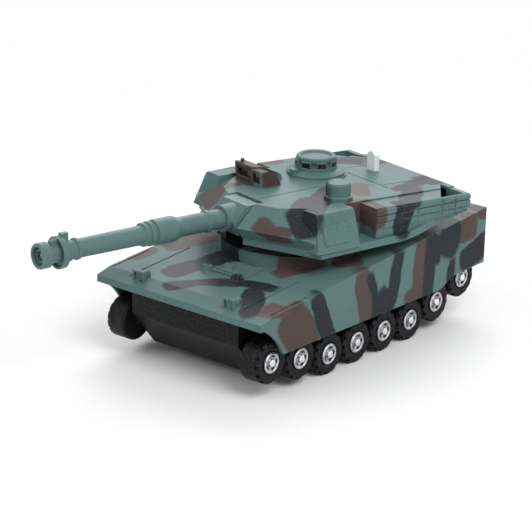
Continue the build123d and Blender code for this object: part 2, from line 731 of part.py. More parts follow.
def side_armour(side):
    """Armour box that wraps the front corner and leans inwards, with a raised plate on its face."""
    outer, top_outer = armour_outer, armour_outer - armour_lean
    section = [(39.0, 70.0), (outer, 70.0), (top_outer, armour_top), (39.0, armour_top)]
    front = cheek_corner + 1.5
    points = [(side * u, front, z) for u, z in section]
    box = extrude(make_face(Polyline(*points, close=True)), armour_rear - front, dir=(0, 1, 0))
    edges = box.edges().filter_by(Axis.Y).group_by(Axis.Z)[-1]
    outer_edge = edges.sort_by(Axis.X)[-1 if side > 0 else 0]
    box = fillet(outer_edge, 2.5)
    lean_back = [(0, front, 70.0), (10, front, 70.0), (0, front + 4.5, armour_top)]
    box = cut_beyond(box, lean_back, (0, -1, 0))

    def face(z):
        return outer - armour_lean * (z - 70.0) / (armour_top - 70.0)

    plate_points = [(side * (face(z) + out), front + 6, z) for z, out in ((74, -1), (74, 0.6), (84, 0.6), (84, -1))]
    return box + extrude(make_face(Polyline(*plate_points, close=True)), 17.0, dir=(0, 1, 0))


def stowage_section(side, y, drop):
    """Cross-section of the stowage row at a distance along the turret, as a face."""
    inner, top = bustle_half_width - 3, stowage_top - drop
    points = [(inner, stowage_bottom), (stowage_outer - 0.8, stowage_bottom), (stowage_outer, top - 1),
              (stowage_outer - 1.4, top), (inner, top)]
    return make_face(Polyline(*[(side * u, y, z) for u, z in points], close=True))


def stowage(side):
    """Row of stowage boxes along the bustle, ribbed along its length and split into bins."""
    rear = bustle_rear - 1
    row = loft([stowage_section(side, stowage_front, 0), stowage_section(side, rear, stowage_drop)])
    tail = [(0, bustle_rise_start, stowage_bottom), (10, bustle_rise_start, stowage_bottom),
            (0, bustle_rear, stowage_bottom + bustle_rise - 1)]
    row = cut_beyond(row, tail, (0, 0, -1))
    x0, x1 = sorted((side * (stowage_outer - 0.9), side * (stowage_outer + 2)))
    for z in (75.4, 79.4, 83.4):
        low = z - stowage_drop * 0.6
        groove = [(stowage_front - 2, z), (rear + 2, low), (rear + 2, low + 0.9), (stowage_front - 2, z + 0.9)]
        row = row - along_x(groove, x0, x1)
    for y in (34.0, 46.0, 64.0, 74.0):
        row = row - block(x0, x1, y, y + 0.9, stowage_bottom - 5, stowage_top + 5)
    return row


def corner_pocket(side):
    """Open corner of the bustle rack."""
    pocket = [(side * 33, bustle_rear - 4.5), (side * 53.0, 65.0), (side * 53.0, bustle_rear - 4.5)]
    return along_z(pocket, stowage_top - 11, 120)


def roof_groove(u, v0, v1):
    """A joint line along the roof, following its slope."""
    depth = 0.6
    above = roof_height + seam_cut_rise
    return along_x([(v0, roof_at(v0) - depth), (v1, roof_at(v1) - depth), (v1, above), (v0, above)], u, u + 0.7)


def roof_seams():
    """Joint lines of the roof: the cover over the gun mount and the rear panel."""
    cross = block(-20.0, 26.0, 48.4, 49.1, roof_at(49) - 0.6, roof_height + seam_cut_rise)
    lines = [roof_groove(5.0, mantlet_slot_rear, 16.0), roof_groove(-14.7, mantlet_slot_rear, -16.0)]
    return group(lines + [cross, roof_groove(19.0, 49.0, 84.0), roof_groove(-19.7, 49.0, 84.0)])


def turret_screw_places():
    return [(-46.0, -18.0), (46.0, -18.0), (-36.0, 60.0), (36.0, 60.0)]


def base_floor(v):
    """Height of the turret's underside at a distance along it."""
    rise = max(0.0, v - bustle_rise_start) * bustle_rise / (bustle_rear - bustle_rise_start)
    return turret_bottom + rise


def turret_shell():
    solid = turret_mass(0)
    shell = solid + turret_rim()
    for side in (-1, 1):
        shell = shell + side_armour(side) + stowage(side)
    shell = shell + rod("z", cupola_radius + 6.5, roof_height - 5, roof_height, cupola_x, cupola_y)
    rim_in = along_z(rim_outline(turret_wall), turret_bottom - 5, turret_bottom + rim_height - 1)
    rim_in = rim_in & block(-80, 80, -80, 120, 0, turret_bottom + rim_height - 1)
    shell = shell - turret_mass(turret_wall) - rim_in
    for post in roof_posts():
        shell = shell + (post & solid)
    shell = shell - block(-mantlet_slot, mantlet_slot, -80, mantlet_slot_rear, 0, 120)
    shell = shell - block(button_x - button_width / 2 - moving_gap, button_x + button_width / 2 + moving_gap,
                          button_y - button_length / 2 - moving_gap, button_y + button_length / 2 + moving_gap, 80, 120)
    for side in (-1, 1):
        shell = shell - corner_pocket(side)
    for x, y in turret_screw_places():
        shell = shell - rod("z", screw_radius - 0.2, base_floor(y), base_floor(y) + screw_length + 1.8, x, y)
    return shell - roof_seams()


def roof_posts():
    """Screw posts hanging from the roof inside the shell."""
    posts = []
    for x, y in turret_screw_places():
        posts.append(rod("z", 3.4, base_floor(y + 3.4) + base_thickness + 0.05, roof_at(y) - 1, x, y))
    return posts


# ================================================================ turret base
def turret_base():
    """Floor of the turret with its turntable ring, pivot hub and the gun's bearing ears."""
    rear = bustle_rear - turret_wall - 0.3
    profile = [(-44, turret_bottom), (bustle_rise_start, turret_bottom), (rear, base_floor(rear)),
               (rear, base_floor(rear) + base_thickness), (bustle_rise_start, turret_bottom + base_thickness),
               (-44, turret_bottom + base_thickness)]
    plate = along_x(profile, -70, 70) & along_z(rim_outline(turret_wall + 0.2), 40, 120)
    narrow = mirrored([(60, -60), (60, -5 - turret_wall), (bustle_half_width - turret_wall - 0.3, -5 - turret_wall),
                       (bustle_half_width - turret_wall - 0.3, 100)])
    plate = plate & along_z(narrow, 0, 200)
    ring = rod("z", ring_radius - 2, ring_top + moving_gap, turret_bottom + 0.5, 0, 0)
    ring = ring - rod("z", ring_radius - 6, 0, 100, 0, 0)
    hub = rod("z", hub_hole_radius - moving_gap, 53.2, turret_bottom + 0.5, 0, 0)
    base = plate + ring + hub - rod("z", hub_hole_radius - 3.6, 0, 100, 0, 0)
    for x, y in retainer_screw_places():
        post = rod("z", 2.6, 53.2, turret_bottom + 1, x, y)
        base = base + post - rod("z", screw_radius - 0.2, 50, 53.2 + screw_length, x, y)
    for side in (-1, 1):
        x0, x1 = sorted((side * (mantlet_slot + 0.4), side * (mantlet_slot + 2.6)))
        ear = along_x([(trunnion_y - 6, turret_bottom + 1), (trunnion_y + 6, turret_bottom + 1),
                       (trunnion_y + 3.5, gun_height + 3.5), (trunnion_y - 3.5, gun_height + 3.5)], x0, x1)
        base = base + ear - rod("x", trunnion_radius + running_gap, x0 - 1, x1 + 1, trunnion_y, gun_height)
    for x in (-5, 5):
        for dy in (-4, 4):
            base = base + rod("z", 1.4, base_floor(button_y + dy) + 0.5, switch_board_z(), button_x + x, button_y + dy)
    front_gap = block(-mantlet_slot - 0.3, mantlet_slot + 0.3, -80, trunnion_y + 2, 0, turret_bottom + 5)
    base = base - front_gap
    for x, y in turret_screw_places():
        base = base - rod("z", screw_radius + 0.15, 40, 100, x, y)
    return base


def retainer_screw_places():
    reach = hub_hole_radius - 3.4
    return [(reach * math.cos(math.radians(a)), reach * math.sin(math.radians(a))) for a in (90, 210, 330)]


def turret_retainer():
    """Washer screwed under the pivot hub, which keeps the turret in the hull."""
    top = 53.2
    ring = rod("z", hub_hole_radius + 3, top - 1.8, top, 0, 0) - rod("z", hub_hole_radius - 6.8, 0, 100, 0, 0)
    for x, y in retainer_screw_places():
        ring = ring - rod("z", screw_radius + 0.15, 0, 100, x, y)
    return ring


def turret_screws():
    screws = [screw(x, y, 53.2 - 1.8) for x, y in retainer_screw_places()]
    screws += [screw(x, y, base_floor(y - screw_head_radius) - 0.02) for x, y in turret_screw_places()]
    return group(screws)


# ================================================================ gun
def mantlet():
    """Gun mount: a drum on its trunnions with the wedge-shaped shield in front of it."""
    half = mantlet_slot - 0.4
    rear = trunnion_y - 2.0
    drum = rod("x", mantlet_radius, -half, half, trunnion_y, gun_height)
    wedge = along_x([(rear, mantlet_top), (-41.5, mantlet_top), (-49.5, gun_height - 0.5), (-46.0, 71.5),
                     (rear, gun_height - mantlet_radius)], -half, half)
    body = drum + wedge
    for side in (-1, 1):
        taper = [(side * half, -38, 100), (side * half, -38, 60), (side * (half - 2.6), -50, 70)]
        body = cut_beyond(body, taper, (side, -0.2, 0))
    trunnions = rod("x", trunnion_radius, -mantlet_slot - 2.8, mantlet_slot + 2.8, trunnion_y, gun_height)
    socket = rod("y", barrel_radius + 0.2, -60, trunnion_y - 2, 0, gun_height)
    collar = rod("y", barrel_radius + 2.2, -51.5, -40, 0, gun_height)
    return body + collar + trunnions - socket


def gun_barrel():
    """Barrel with the fume extractor and its collars, turned about the bore."""
    r = barrel_radius
    outline = [(0, trunnion_y - 2.2), (r + 0.2, trunnion_y - 2.2), (r + 0.2, -60), (r + 0.9, -60.4), (r + 0.9, -62.4),
               (r + 0.2, -62.8), (r + 0.2, -80), (r + 1.8, -84.5), (r + 1.8, -97), (r + 0.6, -97.4),
               (r + 0.6, -98.6), (r + 1.5, -99), (r + 1.5, -101), (r + 0.5, -101.4), (r + 0.5, -102.6),
               (r + 1.2, -103), (r + 1.2, -104.6), (r, -105), (r - 0.2, -146), (r + 0.6, -146.4),
               (r + 0.6, -148), (r - 0.2, -148.4), (r - 0.2, -152), (0, -152)]
    return turned([(radius, -distance) for radius, distance in outline],
                  Plane(origin=(0, 0, gun_height), x_dir=(1, 0, 0), z_dir=(0, -1, 0)))


def muzzle():
    """Muzzle piece: rear flange with its top tabs, neck and open front ring."""
    outline = [(0, 152), (6.0, 152), (6.0, 155.5), (8.9, 156.2), (8.9, 159.2), (7.6, 159.8), (5.2, 160.2),
               (5.2, 164.6), (6.7, 165.4), (6.7, 170.4), (6.1, -muzzle_y), (4.6, -muzzle_y), (4.3, 163), (0, 163)]
    body = turned(outline, Plane(origin=(0, 0, gun_height), x_dir=(1, 0, 0), z_dir=(0, -1, 0)))
    body = body + block(-2.4, 2.4, -159.0, -153.5, gun_height + 5.0, gun_height + 10.4)
    body = body + block(-1.6, 1.6, -163.0, -159.0, gun_height + 4.0, gun_height + 8.2)
    return body - rod("y", led_radius, -165, -158, 0, gun_height)


def muzzle_led():
    """The lamp in the muzzle: a flanged barrel with a domed nose."""
    outline = [(0, 158), (led_radius, 158), (led_radius, 163), (led_radius + 0.4, 163), (led_radius + 0.4, 163.8),
               (led_radius, 163.8), (led_radius, 166.6), (1.5, 168.2), (0, 168.8)]
    return turned(outline, Plane(origin=(0, 0, gun_height), x_dir=(1, 0, 0), z_dir=(0, -1, 0)))


# ================================================================ roof fittings
def commander_cupola():
    """Commander's cupola: base ring, a band of vision blocks and a dished hatch."""
    r, top = cupola_radius, cupola_top
    profile = [(0, 0), (r + 5.5, 0), (r + 5.5, 1.6), (r + 3.4, 2.6), (r + 0.6, 2.9), (r - 1.0, 6.4), (r, 7.0),
               (r, top - roof_height - 0.6), (r - 0.8, top - roof_height), (r - 2.4, top - roof_height - 0.2),
               (r - 3.2, top - roof_height - 1.2), (0, top - roof_height - 0.6)]
    body = turned(profile, Plane(origin=(cupola_x, cupola_y, roof_height)))
    for step in range(8):
        angle = 22.5 + 45 * step
        block_at = Rot(0, 0, angle) * Pos(r - 0.4, 0, 5.2) * Box(2.6, 5.0, 2.8)
        body = body + Pos(cupola_x, cupola_y, roof_height) * block_at
    mount = block(cupola_x + 3, cupola_x + 7, cupola_y - r - 7.0, cupola_y - r - 3, roof_height, roof_height + 4.5)
    return body + mount


def sight_cylinder():
    """Independent viewer: a plain cylinder on a collar, with a bevelled top."""
    r, h = viewer_radius, viewer_top - roof_height
    profile = [(0, 0), (r + 1.0, 0), (r + 1.0, 1.6), (r - 0.1, 2.0), (r - 0.1, h - 1.0), (r - 0.9, h), (0, h)]
    return turned(profile, Plane(origin=(viewer_x, viewer_y, roof_height)))


def gunner_sight():
    """Boxy gunner's sight housing with a recessed window and a sloping rear cover."""
    x0, x1 = sight_x - sight_width / 2, sight_x + sight_width / 2
    y0, y1 = sight_front, sight_front + sight_length
    body = along_x([(y0, roof_height), (y1 + 6, roof_height), (y1 + 5, roof_height + 3), (y1, sight_top - 5),
                    (y1 - 8, sight_top - 1.2), (y0 - 1, sight_top)], x0, x1)
    body = body - block(x0 + 1.6, x1 - 1.6, y0 - 3, y0 + 1.4, roof_height + 2.5, sight_top - 1.8)
    body = body + rod("x", 0.7, x0 - 0.0, x1 + 0.0, y0 + 0.6, roof_height + 7.5)
    return body + rod("z", 1.1, sight_top - 1.4, sight_top + 1.5, x0 + 3.2, y0 + 2.2)


# ================================================================ button
def flange_z():
    return roof_at(button_y + 4) - turret_wall - moving_gap - 1.6


def switch_board_z():
    return 76.0


def try_me_button():
    """White push button: a peaked blade through the roof, a stop flange and a foot."""
    half, top = button_width / 2, button_top
    outline = [(-half, flange_z()), (half, flange_z()), (half, top - 2.4), (0.8, top), (-0.8, top),
               (-half, top - 2.4)]
    points = [(button_x + x, button_y - button_length / 2, z) for x, z in outline]
    blade = extrude(make_face(Polyline(*points, close=True)), button_length, dir=(0, 1, 0))
    flange = block(button_x - half - 1.6, button_x + half + 1.6, button_y - 3.6, button_y + 3.6,
                   flange_z(), flange_z() + 1.6)
    foot_end = switch_board_z() + board_thickness + dome_height + button_travel + 0.1
    foot = rod("z", 1.6, foot_end, flange_z() + 0.5, button_x, button_y)
    return blade + flange + foot


def button_spring():
    """Return spring round the button's foot, drawn as a sleeve."""
    z0, z1 = switch_board_z() + board_thickness, flange_z()
    sleeve = rod("z", 2.7, z0, z1, button_x, button_y)
    return sleeve - rod("z", 2.1, z0 - 1, z1 + 1, button_x, button_y)


def contact_dome():
    """Snap dome on the switch board that the button's foot presses."""
    profile = [(0, 0), (1.9, 0), (1.6, dome_height - 0.1), (1.0, dome_height), (0, dome_height)]
    return turned(profile, Plane(origin=(button_x, button_y, switch_board_z() + board_thickness)))


def switch_board():
    """Small board under the button, which its foot touches when pressed."""
    z = switch_board_z()
    board = block(button_x - 8, button_x + 8, button_y - 6, button_y + 6, z, z + board_thickness)
    return board + block(button_x + 4.5, button_x + 7.5, button_y - 4, button_y + 4, z + board_thickness,
                         z + board_thickness + 2)


# ================================================================ the whole tank
hull_makers = [upper_hull, driver_hatch, chassis, chassis_screws, battery_door, button_cells, battery_contacts,
               circuit_board, speaker, gearbox_left_half, gearbox_mid_plate, gearbox_right_half, layshaft_pins,
               flywheel, flywheel_shaft, flywheel_pinion]
turret_makers = [turret_shell, turret_base, turret_retainer, turret_screws, commander_cupola, sight_cylinder,
                 gunner_sight, switch_board, contact_dome, try_me_button, button_spring, mantlet, gun_barrel, muzzle, muzzle_led]
turret_place = Pos(0, turret_y, 0) * Rot(0, 0, turret_rest_yaw)


def build():
    """Every node by name, about the middle of the wheelbase."""
    nodes = {maker.__name__: maker() for maker in hull_makers}
    nodes["front_compound_gear"] = compound_gear(-1)
    nodes["rear_compound_gear"] = compound_gear(1)
    nodes["axle_4_gear"] = axle_gear(-1)
    nodes["axle_5_gear"] = axle_gear(1)
    for index in range(8):
        name = f"axle_{index + 1}"
        nodes[f"{name}_shaft"] = axle_shaft(index)
        nodes[f"{name}_wheels"] = group(wheel(index, side) for side in (-1, 1))
        nodes[f"{name}_hubcaps"] = group(hubcap(index, side) for side in (-1, 1))
    for maker in turret_makers:
        nodes[maker.__name__] = turret_place * maker()
    return nodes


def bottom_centre(nodes):
    """Shift that puts the origin at the bottom centre of the whole model."""
    boxes = [shape.bounding_box() for shape in nodes.values()]
    low = [min(getattr(box.min, axis) for box in boxes) for axis in "XYZ"]
    high = [max(getattr(box.max, axis) for box in boxes) for axis in "XYZ"]
    return -(low[0] + high[0]) / 2, -(low[1] + high[1]) / 2, -low[2]


def main():
    nodes = build()
    shift = bottom_centre(nodes)
    print("origin shift", [round(value, 4) for value in shift])
    os.makedirs("parts", exist_ok=True)
    for name, shape in nodes.items():
        export_step(Pos(*shift) * shape, f"parts/{name}.step")


if __name__ == "__main__":
    main()
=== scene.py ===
# %% [markdown]
# # A friction-drive toy tank
# The real toy is a camouflaged hull shell on a black chassis, eight pairs of free-turning wheels
# with plated hubcaps, a turret that turns and a gun that tips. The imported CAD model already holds
# every rigid piece in its true place, so this lesson gives those pieces their finishes, builds
# the few that CAD leaves plain, and sets up a small studio round them. Modelling the toy again in
# Blender would risk losing the fit of its gears, so the frame's meshes stay as they are.

# %% Load the frame
import json
import math

import bmesh
import bpy
from mathutils import Matrix, Vector


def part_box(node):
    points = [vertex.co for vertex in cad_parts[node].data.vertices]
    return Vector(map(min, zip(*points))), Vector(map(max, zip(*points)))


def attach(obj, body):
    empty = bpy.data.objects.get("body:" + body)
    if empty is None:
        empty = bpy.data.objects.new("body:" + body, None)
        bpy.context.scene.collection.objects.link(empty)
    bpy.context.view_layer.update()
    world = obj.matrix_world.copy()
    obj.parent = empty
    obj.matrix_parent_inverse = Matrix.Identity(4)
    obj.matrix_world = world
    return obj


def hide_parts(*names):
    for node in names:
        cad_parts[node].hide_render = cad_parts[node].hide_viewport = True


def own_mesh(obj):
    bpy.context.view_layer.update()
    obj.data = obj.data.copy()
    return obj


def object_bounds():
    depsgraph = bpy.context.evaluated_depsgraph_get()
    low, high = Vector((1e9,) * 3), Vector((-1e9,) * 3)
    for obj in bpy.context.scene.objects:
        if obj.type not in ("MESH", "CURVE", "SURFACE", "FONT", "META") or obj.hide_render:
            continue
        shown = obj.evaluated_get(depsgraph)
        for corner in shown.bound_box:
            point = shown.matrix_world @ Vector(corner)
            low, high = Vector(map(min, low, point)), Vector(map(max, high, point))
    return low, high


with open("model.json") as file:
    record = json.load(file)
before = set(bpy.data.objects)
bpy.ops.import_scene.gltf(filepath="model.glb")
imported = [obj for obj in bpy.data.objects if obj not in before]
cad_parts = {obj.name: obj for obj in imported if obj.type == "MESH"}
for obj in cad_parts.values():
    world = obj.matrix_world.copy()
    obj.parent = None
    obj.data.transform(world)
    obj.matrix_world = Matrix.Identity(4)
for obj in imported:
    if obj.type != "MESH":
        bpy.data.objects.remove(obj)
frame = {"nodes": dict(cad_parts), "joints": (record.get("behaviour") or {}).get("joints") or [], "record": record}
cad_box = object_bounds()
MM = 0.001
joints = {joint["name"]: joint for joint in frame["joints"]}
nodes = frame["nodes"]

# %% [markdown]
# Sprayed patches have to be placed on the hull and on the turret, which sits a little turned on
# it. The joints say where both are: the turret's axis lies on the hull's centre line, the flywheel
# axle is halfway along the wheels, and the gun's hinge shows how far the turret is turned.

# %% Find the toy's own axes
turret_pivot = Vector(joints["turret_turn"]["pos_m"])
hull_origin = Vector((turret_pivot.x, joints["flywheel_spin"]["pos_m"][1], 0.0))
gun_axis = Vector(joints["gun_elevation"]["axis"])
turret_yaw = math.atan2(gun_axis.y, -gun_axis.x)
turret_origin = Vector((turret_pivot.x, turret_pivot.y, 0.0))
print("turret turned by", round(math.degrees(turret_yaw), 1), "degrees")

# %% [markdown]
# A material is a small calculation on every point of a surface. Wiring its nodes one by one is
# hard to read, so a socket is wrapped in a class with Python's own operators: `1 - mask` then adds
# a Math node. Everything else, such as noise or a bevel, comes from one method that takes the
# node's type, its settings and its inputs.

# %% Shader maths as Python
class Value:
    """A number on its way through a material, which Python's operators calculate with."""

    def __init__(self, recipe, socket):
        self.recipe = recipe
        self.socket = socket

    def math(self, operation, first, second):
        return self.recipe.node("Math", {"operation": operation}, {0: first, 1: second})

    def __add__(self, other):
        return self.math("ADD", self, other)

    def __sub__(self, other):
        return self.math("SUBTRACT", self, other)

    def __rsub__(self, other):
        return self.math("SUBTRACT", other, self)

    def __mul__(self, other):
        return self.math("MULTIPLY", self, other)

    def least(self, other):
        return self.math("MINIMUM", self, other)

    def ramp(self, start, end, low=0.0, high=1.0):
        """low where the value is start or before, high from end on, with a soft change between."""
        return self.recipe.node(
            "MapRange",
            {"interpolation_type": "SMOOTHSTEP"},
            {"Value": self, "From Min": start, "From Max": end, "To Min": low, "To Max": high},
        )


class Recipe:
    """One material, with a method that adds a node and returns what it puts out."""

    def __init__(self, name):
        self.material = bpy.data.materials.new(name)
        self.material.use_nodes = True
        self.tree = self.material.node_tree
        self.tree.nodes.clear()

    def node(self, kind, settings=None, inputs=None, output=0):
        """Adds a node; a Value among its inputs is linked to it, and anything else is set."""
        node = self.tree.nodes.new("ShaderNode" + kind)
        for key, setting in (settings or {}).items():
            setattr(node, key, setting)
        for key, given in (inputs or {}).items():
            if isinstance(given, Value):
                self.tree.links.new(given.socket, node.inputs[key])
            else:
                node.inputs[key].default_value = given
        return Value(self, node.outputs[output]) if node.outputs else None

    def place(self):
        """Where a point is on the resting toy, in metres."""
        return self.node("TexCoord", output=3)

    def noise(self, place, size, detail=2.0, roughness=0.5, output=0):
        """Soft random spots from 0 to 1, about size across in the units of place."""
        inputs = {"Vector": place, "Scale": 1.0 / size, "Detail": detail, "Roughness": roughness}
        return self.node("TexNoise", {}, inputs, output)

    def mix(self, first, second, amount):
        """The first colour, turning into the second as amount goes from 0 to 1."""
        return self.node("Mix", {"data_type": "RGBA"}, {0: amount, 6: first, 7: second}, output=2)

    def bump(self, height, distance, normal=None):
        """The surface's direction where height, from 0 to 1, lifts it by up to distance."""
        inputs = {"Height": height, "Distance": distance}
        if normal is not None:
            inputs["Normal"] = normal
        return self.node("Bump", {}, inputs)

    def soft_edges(self, radius):
        """The surface's direction with its sharp edges rounded, as moulding leaves them."""
        return self.node("Bevel", {"samples": 4}, {"Radius": radius})

    def finish(self, inputs):
        """Ends the material in the shader that stands for plastic, metal and resin."""
        shader = self.node("BsdfPrincipled", {}, inputs)
        self.node("OutputMaterial", {}, {"Surface": shader})
        return self.material


BLACK = (0.0, 0.0, 0.0, 1.0)
WHITE = (1.0, 1.0, 1.0, 1.0)


def srgb(red, green, blue):
    """A colour as a paint chart writes it, from 0 to 255, in the linear light of a render."""
    def linear(level):
        level = level / 255
        return level / 12.92 if level < 0.04045 else ((level + 0.055) / 1.055) ** 2.4
    return (linear(red), linear(green), linear(blue), 1.0)


print("a mid grey is", round(srgb(119, 119, 119)[0], 3), "in linear light")

# %% [markdown]
# Moulded plastic is never one flat colour. The pigment clouds a little over a few centimetres, a
# fine spark-eroded texture breaks up the shine, and handling polishes the sharp edges paler. The
# edges are found by comparing the surface's direction with a bevelled copy of it, which works on
# a CAD mesh of any density. Sizes of spots, edges and bumps are in metres.

# %% Wear and texture that every plastic shares
def edge_mask(recipe, radius):
    """1 on sharp edges and 0 on flat faces; radius says how wide the edges are."""
    pair = {0: recipe.node("NewGeometry", output=1), 1: recipe.soft_edges(radius)}
    alike = recipe.node("VectorMath", {"operation": "DOT_PRODUCT"}, pair, output=1)
    return (1 - alike).ramp(0.01, 0.12)


PLAIN_SPECULAR = 0.5


def moulded(recipe, colour, worn, wear, grain, rough, specular=PLAIN_SPECULAR):
    """The inputs of moulded plastic: wear is how far its edges turn into the worn colour, grain
    the depth of its texture, and specular the strength of its shine."""
    place = recipe.place()
    clouds = recipe.noise(place, 0.035, 3.0)
    speckle = recipe.noise(place, 0.0011, 2.0, 0.7)
    edges = edge_mask(recipe, 0.0006) * recipe.noise(place, 0.006, 3.0).ramp(0.38, 0.62) * wear
    shade = recipe.mix(colour, BLACK, clouds.ramp(0.35, 0.7, 0.0, 0.12))
    shade = recipe.mix(shade, WHITE, speckle.ramp(0.45, 0.8, 0.0, 0.035))
    shade = recipe.mix(shade, worn, edges)
    texture = recipe.noise(place, 0.0007, 2.0, 0.6)
    return {
        "Base Color": shade,
        "Roughness": speckle.ramp(0.25, 0.75, rough - 0.05, rough + 0.07) - edges * 0.1,
        "Normal": recipe.bump(texture, grain, recipe.soft_edges(0.00035)),
        "Specular IOR Level": specular,
    }


# %% [markdown]
# The camouflage is sprayed through masks after moulding: brown, charcoal and a violet grey over
# green plastic. Each patch here is a bar with rounded corners that runs from one point to another
# and reaches through the surface, so it wraps over an edge as spray does. The place it is asked at
# is first shaken by two noises, which makes its outline wander. A picture wrapped round the hull
# would need a layout, and would smear on the slopes.

# %% The sprayed bars
GREEN = srgb(90, 119, 117)
GREEN_WORN = srgb(146, 170, 166)
BROWN = srgb(80, 68, 65)
RUSSET = srgb(90, 71, 71)
# also the colour of the painted shadow under the turret's front, in the hull's charcoal coat
CHARCOAL = srgb(34, 41, 45)
VIOLET = srgb(52, 52, 62)
OVERSPRAY = 0.8


def shaken(recipe, origin, turn):
    """The place in millimetres from origin, turned by -turn, with its outline made to wander."""
    place = recipe.node(
        "Mapping",
        {"vector_type": "TEXTURE"},
        {
            "Vector": recipe.place(),
            "Location": origin,
            "Rotation": (0, 0, turn),
            "Scale": (MM, MM, MM),
        },
    )
    for size, reach in ((15.0, 5.0), (4.0, 1.2)):
        cloud = recipe.noise(place, size, 1.0, output=1)
        push = recipe.node("VectorMath", {"operation": "SUBTRACT"}, {0: cloud, 1: (0.5, 0.5, 0.5)})
        push = recipe.node("VectorMath", {"operation": "SCALE"}, {0: push, "Scale": reach})
        place = recipe.node("VectorMath", {"operation": "ADD"}, {0: place, 1: push})
    return place


def bar(start, end, half_width, half_depth, depth_axis):
    """A bar from start to end; half_depth is its reach along depth_axis, an axis of the toy."""
    start, end = Vector(start), Vector(end)
    along = (end - start).normalized()
    across = along.cross(Vector(depth_axis)).normalized()
    turn = Matrix((across, along, across.cross(along))).transposed().to_euler()
    return ((start + end) / 2, (half_width, (end - start).length / 2, half_depth), turn)


def patch_distance(recipe, place, patch):
    """About how far a point lies outside one bar, in millimetres; negative inside."""
    middle, radii, turn = patch
    local = recipe.node(
        "Mapping",
        {"vector_type": "TEXTURE"},
        {"Vector": place, "Location": middle, "Rotation": turn, "Scale": radii},
    )
    squared = recipe.node("VectorMath", {"operation": "MULTIPLY"}, {0: local, 1: local})
    length = recipe.node("VectorMath", {"operation": "LENGTH"}, {0: squared}, output=1)
    return (length - 1.0) * (min(radii) / 2)


def sprayed(recipe, place, patches):
    """1 inside any of the patches, 0 outside, with an edge of overspray between."""
    nearest = patch_distance(recipe, place, patches[0])
    for patch in patches[1:]:
        nearest = nearest.least(patch_distance(recipe, place, patch))
    return nearest.ramp(OVERSPRAY, -OVERSPRAY)


# %% [markdown]
# On the hull the bars run down the skirts and slant backwards, and cross the deck as longer ones. Their places are
# in millimetres from the middle of the wheels on the ground: x runs to the toy's left, y back and z up. A bar on a
# skirt lies on the left one, unless its side is -1. One charcoal bar on the deck is painted shadow, under the gun
# and the front of the turret.

# %% Where the hull's patches lie
SKIRT_X, SKIRT_DEPTH = 61, 9
DECK_Z, DECK_DEPTH = 57, 14
REAR_Y, REAR_DEPTH = 106, 7
ACROSS, ALONG, UP = (1, 0, 0), (0, 1, 0), (0, 0, 1)


def skirt_bar(y0, z0, y1, z1, half_width, side=1):
    x = side * SKIRT_X
    return bar((x, y0, z0), (x, y1, z1), half_width, SKIRT_DEPTH, ACROSS)


def deck_bar(x0, y0, x1, y1, half_width):
    return bar((x0, y0, DECK_Z), (x1, y1, DECK_Z), half_width, DECK_DEPTH, UP)


def rear_bar(x0, z0, x1, z1, half_width):
    return bar((x0, REAR_Y, z0), (x1, REAR_Y, z1), half_width, REAR_DEPTH, ALONG)


HULL_BROWN = [
    skirt_bar(-80, 50, -62, 20, 13),
    skirt_bar(-68, 40, -58, 20, 9),
    skirt_bar(-17, 58, -8, 20, 7.5),
    skirt_bar(40, 62, 38, 20, 7),
    skirt_bar(24, 28, 44, 28, 6),
    skirt_bar(75, 57, 94, 58, 7.5),
    skirt_bar(93, 66, 108, 64, 5),
    skirt_bar(-66, 58, -78, 20, 11, -1),
    skirt_bar(-26, 58, -16, 20, 9, -1),
    skirt_bar(44, 62, 30, 20, 9, -1),
    skirt_bar(74, 44, 104, 56, 7, -1),
    deck_bar(-56, -54, -40, -20, 10),
    deck_bar(14, 92, 54, 98, 9),
    deck_bar(-42, 54, -34, 92, 10),
]
HULL_RUSSET = [
    bar((57, -98, 55), (57, -78, 51), 5.5, 10, ACROSS),
    deck_bar(24, -50, 34, -20, 7),
    deck_bar(36, -2, 51, -16, 9),
    rear_bar(34, 60, 52, 40, 9),
]
HULL_CHARCOAL_AND_SHADOW = [
    skirt_bar(-57, 53, -41, 20, 6.5),
    skirt_bar(-9, 54, -3, 36, 3.4),
    skirt_bar(-7, 32, 16, 33, 7),
    skirt_bar(10, 26, 19, 60, 5.5),
    skirt_bar(49, 66, 47, 20, 5.5),
    skirt_bar(53, 61, 54, 42, 5),
    skirt_bar(79, 37, 108, 46, 8),
    skirt_bar(72, 44, 68, 22, 3.5),
    skirt_bar(-50, 58, -38, 20, 7, -1),
    skirt_bar(2, 60, 14, 20, 8, -1),
    skirt_bar(58, 62, 66, 20, 8, -1),
    deck_bar(12, -67, 39, -64, 5),
    deck_bar(27, -68, 50, -100, 6.5),
    # painted shadow: darkens the deck and the turret ring under the gun and the turret's front, where shade falls
    deck_bar(-18, -64, -12, -32, 11),
    deck_bar(-8, 80, 8, 104, 10),
    deck_bar(48, 44, 58, 78, 8),
    rear_bar(-34, 58, -14, 26, 9),
    rear_bar(12, 44, 34, 22, 7),
]
HULL_VIOLET = [
    skirt_bar(-1, 40, 9, 26, 6),
    deck_bar(-26, -84, -20, -58, 8.5),
    deck_bar(-15, -96, -4, -82, 6),
    deck_bar(-8, -85, 18, -66, 5.5),
    rear_bar(-12, 62, 14, 52, 8),
]
print(len(HULL_BROWN + HULL_RUSSET + HULL_CHARCOAL_AND_SHADOW + HULL_VIOLET), "bars on the hull")

# %% [markdown]
# The turret is sprayed on its own before the toy is put together, so its patches don't meet the
# hull's. They are placed across and along the turret, from the axis it turns on. The cheeks are the
# slopes beside the gun, and the stowage boxes line the sides.

# %% Where the turret's patches lie
ROOF_Z, ROOF_DEPTH = 92, 8
CHEEK_Y, CHEEK_DEPTH = -34, 20
STOWAGE_X, STOWAGE_DEPTH = 58, 11


def roof_bar(x0, y0, x1, y1, half_width, height=ROOF_Z):
    return bar((x0, y0, height), (x1, y1, height), half_width, ROOF_DEPTH, UP)


